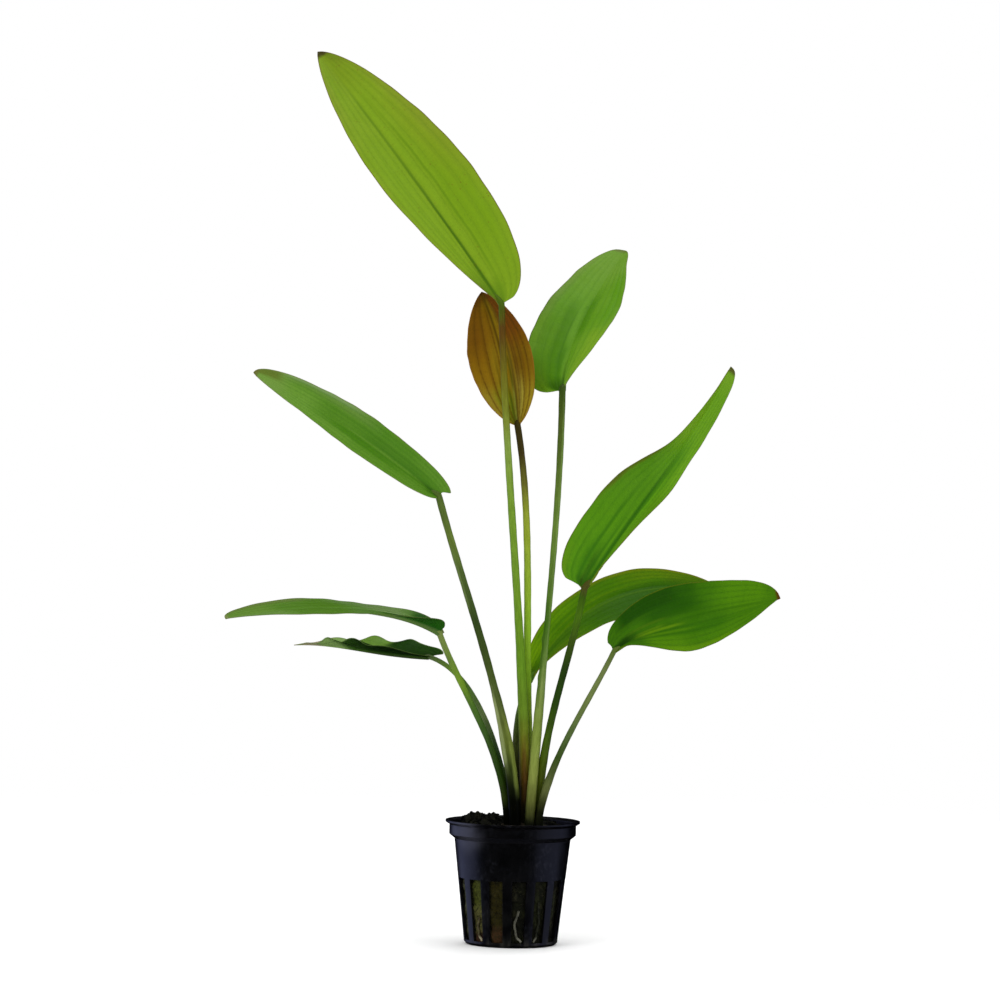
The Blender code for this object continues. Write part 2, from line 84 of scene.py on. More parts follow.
# Soft square lamps, each turned so that its -Z looks at the middle of the plant, and the pale room round them.
def placeLamps():
    target = Vector(room["middle"]) * mm
    for name, lamp in lamps.items():
        data = bpy.data.lights.new(name, "AREA")
        data.energy, data.size = lamp["power"], lamp["size"] * mm
        made = bpy.data.objects.new(name, data)
        bpy.context.scene.collection.objects.link(made)
        made.location = Vector(lamp["place"]) * mm
        made.rotation_euler = (target - made.location).to_track_quat("-Z", "Y").to_euler()
        made.visible_glossy = made.visible_transmission = "tint" in lamp or name == "top"
        if "tint" in lamp:
            data.color, made.visible_diffuse = lamp["tint"], False
    world = bpy.data.worlds.new("paleRoom")
    world.use_nodes = True
    sky = world.node_tree.nodes["Background"]
    sky.inputs["Color"].default_value = (*room["white"], 1.0)
    sky.inputs["Strength"].default_value = room["glow"]
    world.cycles_visibility.glossy = False  # the pale room lights the plant without hazing its colours
    bpy.context.scene.world = world
    bpy.context.scene.view_settings.view_transform = "Standard"


class Wire:
    # One output socket; sums, products and powers of wires and numbers add their Math nodes.
    def __init__(self, finish, socket):
        self.finish, self.socket = finish, socket

    def math(self, operation, *values):
        sockets = dict(enumerate((self, *values)))
        return self.finish.node("Math", {"operation": operation}, sockets)

    def __add__(self, other):
        return self.math("ADD", other)

    def __sub__(self, other):
        return self.math("SUBTRACT", other)

    def __mul__(self, other):
        return self.math("MULTIPLY", other)

    def __truediv__(self, other):
        return self.math("DIVIDE", other)

    def __pow__(self, other):
        return self.math("POWER", other)

    def __abs__(self):
        return self.math("ABSOLUTE")

    def __rsub__(self, other):
        return self.finish.node("Math", {"operation": "SUBTRACT"}, {0: other, 1: self})

    def __rtruediv__(self, other):
        return self.finish.node("Math", {"operation": "DIVIDE"}, {0: other, 1: self})

    __radd__ = __add__
    __rmul__ = __mul__

    def between(self, low, high, start=0.0, end=1.0):
        # Runs smoothly from start at low to end at high.
        sockets = {"Value": self, "From Min": low, "From Max": high, "To Min": start, "To Max": end}
        return self.finish.node("MapRange", {"interpolation_type": "SMOOTHSTEP"}, sockets)

    def falling(self, low, high):
        return self.between(low, high, 1.0, 0.0)

    def window(self, low, high, soft):
        # 1 between low and high and 0 outside, with soft edges of that width.
        return self.between(low - soft, low + soft) * self.falling(high - soft, high + soft)


class Finish:
    # A material: its node tree, the Principled shader that the wires end in, and the base colour as it builds up.
    def __init__(self, name, **constants):
        self.material = bpy.data.materials.new(name)
        self.material.use_nodes = True
        self.tree = self.material.node_tree
        self.shader = self.tree.nodes["Principled BSDF"]
        self.base = None
        for socket, value in constants.items():
            self.shader.inputs[socket].default_value = value

    def plug(self, socket, value):
        if isinstance(value, Wire):
            self.tree.links.new(value.socket, socket)
        else:
            socket.default_value = (*value, 1.0) if socket.type == "RGBA" and len(value) == 3 else value

    def node(self, kind, settings=None, sockets=None, output=0):
        made = self.tree.nodes.new("ShaderNode" + kind)
        for name, value in (settings or {}).items():
            if name == "stops":
                ramp = made.color_ramp
                while len(ramp.elements) < len(value):
                    ramp.elements.new(1.0)
                for element, (place, colour) in zip(ramp.elements, value):
                    element.position, element.color = place, (*colour, 1.0)
            else:
                setattr(made, name, value)
        for name, value in (sockets or {}).items():
            self.plug(made.inputs[name], value)
        return Wire(self, made.outputs[output])

    def attributes(self, *names):
        return [self.node("Attribute", {"attribute_name": name}, output="Fac") for name in names]

    def place(self):
        return self.node("TexCoord", output="Object")

    def axis(self, letter):
        # Distance along an axis of the object, in millimetres.
        return self.node("SeparateXYZ", {}, {"Vector": self.place()}, output=letter) * (1 / mm)

    def noise(self, size, detail, at=None, seed=0.0):
        # Soft noise from 0 to 1, about 0.5, with lumps of this size in millimetres.
        sockets = {"Vector": at or self.place(), "W": seed, "Scale": 1 / (size * mm), "Detail": detail}
        return self.node("TexNoise", {"noise_dimensions": "4D"}, sockets)

    def specks(self, size, seed, reach=(0.05, 0.28), patch=5.0, sparse=(0.5, 0.66)):
        # Small dots of this size in millimetres, only where a broad noise is high.
        cells = self.node("TexVoronoi", {}, {"Vector": self.place(), "Scale": 1 / (size * mm)}, "Distance")
        return cells.falling(*reach) * self.noise(patch, 2, seed=seed).between(*sparse)

    def mix(self, factor, first, second, blend="MIX"):
        settings = {"data_type": "RGBA", "blend_type": blend}
        return self.node("Mix", settings, {0: factor, 6: first, 7: second}, output=2)

    def clouds(self, where, dark, pale):
        # The first base colour: dark where the wire is low and pale where it is high.
        self.base = self.mix(where, paint(*dark), paint(*pale))

    def lay(self, where, *colour):
        # Lays a screen colour over the base, as strongly as the wire says.
        self.base = self.mix(where, self.base, paint(*colour))

    def tint(self, where, shade, blend="SOFT_LIGHT"):
        # Lightens, darkens or multiplies the base by a linear shade.
        self.base = self.mix(where, self.base, shade, blend)

    def done(self, rough=None, relief=None, depth=0.1, strength=0.5):
        # Plugs in the base colour, roughness and a bump whose relief from 0 to 1 stands depth millimetres tall.
        self.plug(self.shader.inputs["Base Color"], self.base)
        if relief:
            self.plug(self.shader.inputs["Roughness"], rough)
            sockets = {"Height": relief, "Distance": depth * mm, "Strength": strength}
            self.plug(self.shader.inputs["Normal"], self.node("Bump", {}, sockets))
        return self.material


light = 1.12  # how much brighter than a plain white room the lamps make things


# Linear colour that looks like this screen colour, from 0 to 255, once the room has lit it.
def paint(*colour):
    return tuple((c / 255 / 12.92 if c < 10.3 else ((c / 255 + 0.055) / 1.055) ** 2.4) / light for c in colour)


# Writes points in millimetres, faces and one value a point for each attribute into a new mesh object.
def makePiece(name, material, points, faces, attributes=None):
    groups = [np.asarray(group, np.int32) for group in faces]
    corners = np.concatenate([group.ravel() for group in groups])
    sizes = np.concatenate([np.full(len(group), group.shape[1], np.int32) for group in groups])
    mesh = bpy.data.meshes.new(name)
    mesh.vertices.add(len(points))
    mesh.vertices.foreach_set("co", np.asarray(points * mm, np.float32).ravel())
    mesh.loops.add(len(corners))
    mesh.loops.foreach_set("vertex_index", corners)
    mesh.polygons.add(len(sizes))
    mesh.polygons.foreach_set("loop_start", np.concatenate([[0], np.cumsum(sizes)[:-1]]).astype(np.int32))
    mesh.polygons.foreach_set("loop_total", sizes)
    mesh.update(calc_edges=True)
    mesh.validate()
    for key, values in (attributes or {}).items():
        held = mesh.attributes.new(key, "FLOAT", "POINT")
        held.data.foreach_set("value", np.asarray(values, np.float32).ravel())
    mesh.shade_smooth()
    mesh.materials.append(material)
    made = bpy.data.objects.new(name, mesh)
    bpy.context.scene.collection.objects.link(made)
    return made


# Quads that join each ring of numbered points to the next ring, all the way round.
def ringQuads(number):
    onward = np.roll(number, -1, axis=-1)
    return np.stack([number[..., :-1, :], onward[..., :-1, :], onward[..., 1:, :], number[..., 1:, :]], -1)


# Joins a (rings, around, 3) grid into a closed skin: quads between the rings, but for the opened ones, and a fan to
# the middle of each end ring.
def closedSkin(grid, attributes=None, opened=None):
    rings, around, _ = grid.shape
    number = np.arange(rings * around).reshape(rings, around)
    onward = np.roll(number, -1, axis=1)
    quads = ringQuads(number)
    quads = quads.reshape(-1, 4) if opened is None else quads[~opened]
    first, last = rings * around, rings * around + 1
    head = np.stack([onward[0], number[0], np.full(around, first)], -1)
    tail = np.stack([number[-1], onward[-1], np.full(around, last)], -1)
    ends = np.concatenate([head, tail])
    points = np.concatenate([grid.reshape(-1, 3), grid[:1].mean(1), grid[-1:].mean(1)])
    values = {
        key: np.concatenate([v.ravel(), v[:1].mean(1), v[-1:].mean(1)]) for key, v in (attributes or {}).items()
    }
    if signedVolume(points, quads) < 0:
        quads, ends = quads[:, ::-1], ends[:, ::-1]
    return points, [quads, ends], values


# Volume inside a skin of quads: a sixth of the sum of each triangle's corner determinant, negative if the skin is
# inside out.
def signedVolume(points, quads):
    a, b, c, d = (points[quads[:, k]] for k in range(4))
    return float((np.cross(a, b) * c).sum() + (np.cross(a, c) * d).sum()) / 6


# Smooth lumps: the mean of several sine waves that cross the points at random headings, from about -1 to 1.
def lumps(points, size, seed, waves=7):
    rng = np.random.default_rng(seed)
    heading = unit(rng.normal(size=(waves, 3)))
    phase = rng.uniform(0, full, waves)
    return np.sin(points @ heading.T * full / size + phase).sum(-1) / math.sqrt(waves)


# Layers of lumps added up, each with its depth, size and seed.
def layered(points, layers):
    return sum(depth * lumps(points, size, seed) for depth, size, seed in layers)


# Vectors at length 1: each one over its own length.
def unit(vectors):
    return vectors / np.linalg.norm(vectors, axis=-1, keepdims=True)


# 0 before start, 1 after end, and smooth between: 3t^2 - 2t^3.
def eased(share, start, end):
    t = np.clip((share - start) / (end - start), 0, 1)
    return t * t * (3 - 2 * t)


# Equal angles once round, the last one short of the first.
def roundAngles(count):
    return np.linspace(0, full, count, endpoint=False)


# Points at radii and angles about Z, and at heights.
def turned(radius, angle, height):
    return np.stack(np.broadcast_arrays(radius * np.cos(angle), radius * np.sin(angle), height), -1)


# Rings round a path: reach times cos a to the front and sin a to the side, both square to the way ahead.
def tube(path, towards, reach, angle):
    ahead = unit(np.gradient(path, axis=-2))
    side = unit(np.cross(ahead, towards))
    front = np.cross(side, ahead)
    ring = np.cos(angle)[:, None] * front[..., None, :] + np.sin(angle)[:, None] * side[..., None, :]
    return path[..., None, :] + reach[..., None] * ring


# Cubic curve: a(1-t)^3 + 3bt(1-t)^2 + 3ct^2(1-t) + dt^3.
def bezier(points, share):
    a, b, c, d = (np.array(p, float) for p in points)
    t = np.asarray(share, float)[:, None]
    return a * (1 - t) ** 3 + 3 * b * t * (1 - t) ** 2 + 3 * c * t**2 * (1 - t) + d * t**3


# Slope of the same curve: 3((b-a)(1-t)^2 + 2(c-b)t(1-t) + (d-c)t^2).
def bezierSlope(points, share):
    a, b, c, d = (np.array(p, float) for p in points)
    t = np.asarray(share, float)[:, None]
    return 3 * ((b - a) * (1 - t) ** 2 + 2 * (c - b) * t * (1 - t) + (d - c) * t**2)


# Pieces ride on the one body of the plant and stand for their solid if they have one.
def seat(piece, node):
    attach(piece, "root")
    if node:
        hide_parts(node)


toViewer = np.array([0.0, -1.0, 0.0])

# Shape, in millimetres and degrees, close to the part's source. Stalk: control points of a cubic from its foot to
# its blade, and radii. Rib: control points of the midrib on from there. Turn: how far the face turns from the
# viewer towards its right margin at base and tip, between the shares in twist. Left, right: each half's width,
# with the exponents of its outline, and how blunt a round tip is. Fold: how steeply the halves rise at base and
# tip. Lobe: reach back past the stalk, left and right. Wave: how far the margins wave, and how often.
leaves = {
    "top": {
        "stalk": ((5.1, -0.5), (4.5, 0.4, 118.5), (-5.8, 1.7, 191.9), (-8.8, 3.0, 264.6)),
        "radii": (2.5, 2.1, 1.62, 1.33),
        "rib": ((-34.2, 11.4, 301.3), (-59.9, 19.6, 335.3), (-88.1, 28.0, 370.1)),
        "turn": (32, 32), "left": (18.7, 0.97, 0.85), "right": (25.0, 0.41, 0.65),
        "fold": (15, 15), "lobe": (0.7, 0.8), "wave": (0.3, 1.9),
        "slot": "yellow_green", "stalkSlot": "stalk_light",
    },
    "young": {
        "stalk": ((8.1, 3.4), (1.9, 4.6, 105.3), (7.8, 5.0, 165.6), (-1.2, 6.0, 214.3)),
        "radii": (1.75, 1.93, 1.51, 1.32),
        "rib": ((-3.5, 11.3, 233.5), (-6.0, 16.7, 253.5), (-17.2, 22.0, 270.3)),
        "turn": (-15, -15), "left": (16.6, 0.68, 0.65), "right": (11.6, 0.68, 0.88),
        "fold": (15, 15), "lobe": (0.0, 0.0), "wave": (0.4, 2.7),
        "slot": "bronze", "stalkSlot": "stalk_light",
    },
    "back_right": {
        "stalk": ((6.7, -5.8), (9.9, 0.0, 109.6), (17.2, 5.0, 169.1), (17.2, 10.0, 229.8)),
        "radii": (2.0, 1.9, 1.22, 1.36),
        "rib": ((18.0, 24.9, 250.3), (31.5, 40.1, 271.4), (42.8, 54.4, 290.8)),
        "turn": (-35, -35), "left": (20.2, 0.32, 0.58, 20.0), "right": (16.1, 1.04, 1.08, 12.5),
        "fold": (12, 12), "lobe": (0.2, 0.1), "wave": (0.3, 2.7),
        "slot": "mid_green", "stalkSlot": "stalk_dark",
    },
    "long_right": {
        "stalk": ((10.7, -0.8), (9.0, -1.9, 83.7), (22.0, -2.9, 114.1), (27.7, -4.0, 147.6)),
        "radii": (1.84, 1.77, 1.5, 1.36),
        "rib": ((46.8, -1.4, 179.1), (70.9, 1.4, 207.3), (86.8, 4.0, 240.3)),
        "turn": (-28.9, 62), "twist": (0.2, 0.76), "left": (18.0, 0.24, 0.92), "right": (9.0, 1.13, 0.3),
        "fold": (11, 14), "lobe": (1.1, 0.4), "wave": (0.7, 2.7),
        "slot": "mid_green", "stalkSlot": "stalk_dark",
    },
    "behind_right": {
        "stalk": ((3.2, 4.4), (1.8, 6.6, 68.3), (-2.7, 8.8, 86.3), (5.7, 11.0, 108.3)),
        "radii": (1.6, 1.5, 1.54, 1.37),
        "rib": ((21.1, 23.4, 141.6), (52.3, 32.4, 155.0), (88.1, 45.0, 145.9)),
        "turn": (-35, -35), "left": (10.4, 0.47, 0.65), "right": (14.3, 1.08, 0.77),
        "fold": (12, 12), "lobe": (2.1, 0.1), "wave": (0.5, 2.3),
        "slot": "deep_green", "stalkSlot": "stalk_dark",
    },
    "front_right": {
        "stalk": ((10.2, -4.4), (13.0, -5.9, 75.4), (29.4, -6.9, 98.5), (40.4, -8.0, 122.3)),
        "radii": (1.6, 1.57, 1.24, 1.01),
        "rib": ((58.0, -16.6, 136.7), (84.9, -25.4, 138.8), (106.4, -34.0, 145.6)),
        "turn": (-20, -20), "left": (14.7, 0.35, 0.45), "right": (14.3, 1.76, 1.52),
        "fold": (8, 8), "lobe": (1.2, 0.0), "wave": (2.2, 1.4),
        "slot": "deep_green", "stalkSlot": "stalk_light",
    },
    "high_left": {
        "stalk": ((0.9, -4.7), (-0.6, -5.7, 94.3), (-20.8, -6.9, 140.6), (-33.1, -8.0, 184.5)),
        "radii": (2.4, 2.5, 1.54, 1.41),
        "rib": ((-58.2, -12.7, 203.5), (-82.4, -17.3, 221.3), (-109.4, -22.0, 233.4)),
        "turn": (40, 40), "left": (10.4, 0.52, 0.73), "right": (10.9, 0.25, 0.46),
        "fold": (14, 14), "lobe": (0.6, 4.4), "wave": (0.3, 2.1),
        "slot": "mid_green", "stalkSlot": "stalk_dark",
    },
    "arching_left": {
        "stalk": ((-2.1, -0.8), (-3.3, -2.6, 79.7), (-21.7, -4.4, 101.5), (-31.9, -6.0, 128.4)),
        "radii": (1.75, 1.5, 1.3, 1.27),
        "rib": ((-54.0, -15.7, 142.3), (-93.5, -26.3, 138.4), (-117.9, -36.0, 133.1)),
        "turn": (84.5, 71), "twist": (0.11, 0.86), "left": (11.8, 0.36, 1.16), "right": (13.0, 0.58, 0.42),
        "fold": (70.7, 4), "lobe": (0.6, 2.9), "wave": (0.4, 1.6),
        "slot": "mid_green", "stalkSlot": "stalk_light",
    },
    "low_left": {
        "stalk": ((0.0, 3.2), (-3.8, 4.3, 71.0), (-13.6, 6.4, 111.6), (-36.5, 8.0, 117.7)),
        "radii": (1.5, 1.36, 1.28, 0.96),
        "rib": ((-54.8, 24.7, 117.5), (-75.3, 41.4, 121.5), (-94.6, 58.0, 119.6)),
        "turn": (82, 86.2), "twist": (0.06, 1.0), "left": (17.1, 0.59, 1.43), "right": (11.9, 0.42, 0.92),
        "fold": (20, 25), "lobe": (5.1, 6.9), "wave": (1.2, 3.9),
        "slot": "deep_green", "stalkSlot": "stalk_dark",
    },
}
blade = {
    "stations": 180, "columns": 61,
    "rootWidth": 1.2, "endWidth": 0.25,  # half widths at the stalk and the very tip
    "bluntPower": 0.35, "bluntFrom": (0.6, 0.8), "join": 8,
    "lobeShare": 0.006, "lobeFade": 10, "foldFade": 8, "curl": 0.06,
    "thick": 0.42, "thinEdge": 0.22,  # of the sheet, at the midrib and at the margin
    "groove": 0.28, "grooveWidth": 0.7,  # along the face over the midrib
    "keel": 1.25, "keelWidth": 1.15,  # under the midrib, as a share of the stalk's radius, and in millimetres
    "ribFade": (0.25, 0.97), "softFold": 0.9,
    "veinDepth": 0.07, "veinWidth": 0.75,
    "quilt": 0.04, "ripple": 0.10, "rippleCount": 7.3,
    "uneven": (0.004, 0.003), "unevenTurns": (31, 57),
    "columnBend": 2.2, "thinPower": 0.7,
}
stalk = {
    "foot": 48.7, "stations": 150, "around": 24, "shares": (0, 0.25, 0.42, 1),
    "reachOn": 0.09, "ringsOn": 15, "sink": 0.75, "thinning": 0.8,  # on under the midrib
    "ribs": ((0.035, 5, 0.02), (0.02, 2, 0.0)),  # height, how many round it, and how fast they wind
    "uneven": ((0.02, 0.31, 1), (0.015, 0.83, 2)),
    "bumpLength": 1.6, "bumpAround": 0.7,
}


# Midrib points, with the directions ahead, out of the face and towards the right margin at each.
def bladeFrame(leaf, share):
    controls = [leaf["stalk"][-1], *leaf["rib"]]
    rib, ahead = bezier(controls, share), unit(bezierSlope(controls, share))
    flat = unit(toViewer - ahead * (ahead @ toViewer)[:, None])
    right = np.cross(ahead, flat)
    atBase, atTip = (math.radians(a) for a in leaf["turn"])
    turn = (atBase + (atTip - atBase) * eased(share, *leaf.get("twist", (0, 1))))[:, None]
    face = flat * np.cos(turn) + right * np.sin(turn)
    return rib, ahead, face, np.cross(ahead, face)


# Half width: widest (t/m)^a ((1-t)/(1-m))^b with m = a/(a+b), joined by the root of the sum of eighth powers to
# blunt (1-t)^0.35 at a round tip, and never less than a line from root to end width.
def halfWidth(half, share):
    widest, atBase, atTip, *blunt = half
    middle = atBase / (atBase + atTip)
    outline = widest * (share / middle) ** atBase * ((1 - share) / (1 - middle)) ** atTip
    rounded = sum(blunt) * (1 - share) ** blade["bluntPower"] * eased(share, *blade["bluntFrom"])
    outline = (outline ** blade["join"] + rounded ** blade["join"]) ** (1 / blade["join"])
    return np.maximum(outline, blade["rootWidth"] + (blade["endWidth"] - blade["rootWidth"]) * share)


# Middle sheet of a blade at shares t along the midrib and columns v from margin -1 to margin 1: the rib, plus
# v w cos(fold) across, plus |v| w sin(fold) - curl v^2 w + waves and veins up, less the lobe's reach back.
def bladeSheet(leaf, share, column, seed):
    rib, ahead, face, across = bladeFrame(leaf, share)
    t, v = share[:, None], column[None, :]
    edge, ends, look = np.abs(v), np.sin(math.pi * t), leaf["look"]
    width = np.where(v > 0, halfWidth(leaf["right"], share)[:, None], halfWidth(leaf["left"], share)[:, None])
    (slow, quick), (slowTurns, quickTurns) = blade["uneven"], blade["unevenTurns"]
    uneven = slow * np.sin(slowTurns * t + seed) * ends + quick * np.sin(quickTurns * t + 2 * v + seed)
    width = width * (1 + uneven)
    atBase, atTip = (math.radians(a) for a in leaf["fold"])
    fold = atTip + (atBase - atTip) * (1 - t) ** blade["foldFade"]
    depth, count = leaf["wave"]
    wave = depth * np.sin(full * count * t + 1.6 * v) * v**2 * ends
    turns = blade["rippleCount"] * t + 0.21 * np.sin(9 * t + seed)
    ripple = blade["ripple"] * np.sin(full * turns + 2.2 * v) * v**6 * ends
    near = blade["softFold"] / np.maximum(width, blade["softFold"])
    soft = np.sqrt(v**2 + near**2 * 0.3) - near * 0.55
    veins = sum(np.exp(-(((edge - place) * width / blade["veinWidth"]) ** 2)) for place in look["veins"])
    cross = np.sin(full * (t * look["crossCount"] - 0.9 * edge + 0.03 * np.sin(23 * t + 5 * v)))
    relief = -blade["veinDepth"] * veins * np.minimum(1, width / 6) + blade["quilt"] * cross * edge * (1 - edge) * 2
    lift = np.maximum(soft, 0) * width * np.sin(fold) - blade["curl"] * v**2 * width + wave + ripple + relief
    lobe = np.where(v > 0, leaf["lobe"][1], leaf["lobe"][0]) * np.minimum(1, t / blade["lobeShare"])
    back = lobe * edge**4 * (5 - 4 * edge) * (1 - t) ** blade["lobeFade"]
    moves = (v * width * np.cos(fold), across), (lift, face), (-back, ahead)
    return rib[:, None] + sum(amount[..., None] * way[:, None] for amount, way in moves), width, face


# Rings round a sheet: the upper rows from margin to margin, then the lower rows back again.
def bothSides(upper, lower):
    return np.concatenate([upper, lower[:, -2:0:-1]], axis=1)


# A blade's skin: the sheet moved out to its face and its underside along its own normal, with a groove over
# the midrib and a keel under it, joined round the margins into rings and closed at both ends.
def makeBlade(name, leaf, material, seed):
    share = (1 - np.cos(np.linspace(0, math.pi, blade["stations"]))) / 2
    bend = blade["columnBend"]
    column = np.sin(np.linspace(-0.5, 0.5, blade["columns"]) * bend) / math.sin(bend / 2)
    sheet, width, face = bladeSheet(leaf, share, column, seed)
    away = unit(np.cross(np.gradient(sheet, axis=1), np.gradient(sheet, axis=0)))
    away *= np.sign((away * face[:, None]).sum(-1, keepdims=True))
    t, v = np.broadcast_arrays(share[:, None], column)
    edge = np.abs(v)
    thick = blade["thick"] + (blade["thinEdge"] - blade["thick"]) * edge ** blade["thinPower"]
    fade = 1 - eased(t, *blade["ribFade"])
    groove = blade["groove"] * np.exp(-((edge * width / blade["grooveWidth"]) ** 2)) * fade * eased(t, 0, 0.04)
    keel = blade["keel"] * leaf["radii"][-1] * np.exp(-((edge * width / blade["keelWidth"]) ** 2)) * fade
    upper = sheet + away * (thick / 2 - groove)[..., None]
    lower = sheet - away * (thick / 2 + keel)[..., None]
    values = {"along": bothSides(t, t), "across": bothSides(v, v), "half": bothSides(width, width)}
    values["under"] = bothSides(np.zeros(t.shape), np.ones(t.shape))
    return makePiece("blade" + name, material, *closedSkin(bothSides(upper, lower), values))


# A stalk's skin: rings round a cubic path that runs on a little under the midrib, with faint ribs along it and
# bumps of height e^(-d^2) where the look has them.
def makeStalk(name, leaf, material, seed):
    foot, *others = leaf["stalk"]
    onStalk = np.linspace(0, 1, stalk["stations"])
    onRib = np.linspace(0, stalk["reachOn"], stalk["ringsOn"] + 1)[1:]
    rib, _, face, _ = bladeFrame(leaf, onRib)
    radii = np.interp(onStalk, stalk["shares"], leaf["radii"])
    last = radii[-1]
    sink = eased(onRib, 0, stalk["reachOn"] * 0.5)[:, None] * last * stalk["sink"]
    path = np.concatenate([bezier([(*foot, stalk["foot"]), *others], onStalk), rib - face * sink])
    radii = np.concatenate([radii, last * (1 - stalk["thinning"] * eased(onRib, 0, stalk["reachOn"]))])
    length = np.concatenate([[0], np.cumsum(np.linalg.norm(np.diff(path, axis=0), axis=1))])
    angle = roundAngles(stalk["around"])
    ribs = 1 + sum(high * np.cos(many * angle + wind * length[:, None] + seed) for high, many, wind in stalk["ribs"])
    uneven = 1 + sum(high * np.sin(turns * length + shift * seed) for high, turns, shift in stalk["uneven"])
    for place, heading, height in leaf["look"]["bumps"]:
        near = np.exp(-(((length - place) / stalk["bumpLength"]) ** 2))[:, None]
        beside = np.exp(-((np.angle(np.exp(1j * (angle - heading))) / stalk["bumpAround"]) ** 2))
        ribs = ribs + height * near * beside / radii[:, None]
    along = np.concatenate([onStalk, 1 + onRib])
    spread = np.broadcast_arrays(along[:, None], length[:, None], np.sin(angle), np.cos(angle))
    values = dict(zip(("along", "length", "side", "front"), spread))
    grid = tube(path, toViewer, (radii * uneven)[:, None] * ribs, angle)
    return makePiece("stalk" + name, material, *closedSkin(grid, values))


# How each leaf looks, in screen colours from 0 to 255. First, the painted light: a shade over all of the leaf's paint
# for how brightly the lamps light it as it faces them. Body, pale: the two colours of its mottling. Vein, margin,
# tip:
# colours of those. Veins: places of the faint veins on both halves. CrossCount: how many slanted cross veins. Places,
# softness and strength in the next lists are hundredths. Patches: where along (0 base, 100 tip), where across (-100
# left margin, 100 right), how soft each way, colour and strength; besides the leaf's own colours they hold painted
# shade, dark near the blade bases and where leaves shade each other, and painted sheen, pale along some margins and
# tips. Lines: drawn veins at a place across, where along, their width in millimetres, colour and strength. Stalk:
# colours from foot 0 to blade 100, near black at the foot as painted shade where the stalks crowd into the pot, with
# patches of its own placed along and from side to side, some of them painted light and shade on its two sides. Bumps
# on the stalk: distance from its foot, heading and height in millimetres. Under: the underside's colour and strength,
# the shares between which it fades, and the strength of the pale keel; on the arching and low left leaves that colour
# is dark, painted shade.
plainLook = {
    "veins": (0.2, 0.4, 0.6, 0.8), "lines": [], "specks": 0.1, "shine": 0.14,
    "under": (104, 134, 66), "underAmount": 0.5, "keelAmount": 0.5,
    "stalkPatches": [], "bumps": [],
}
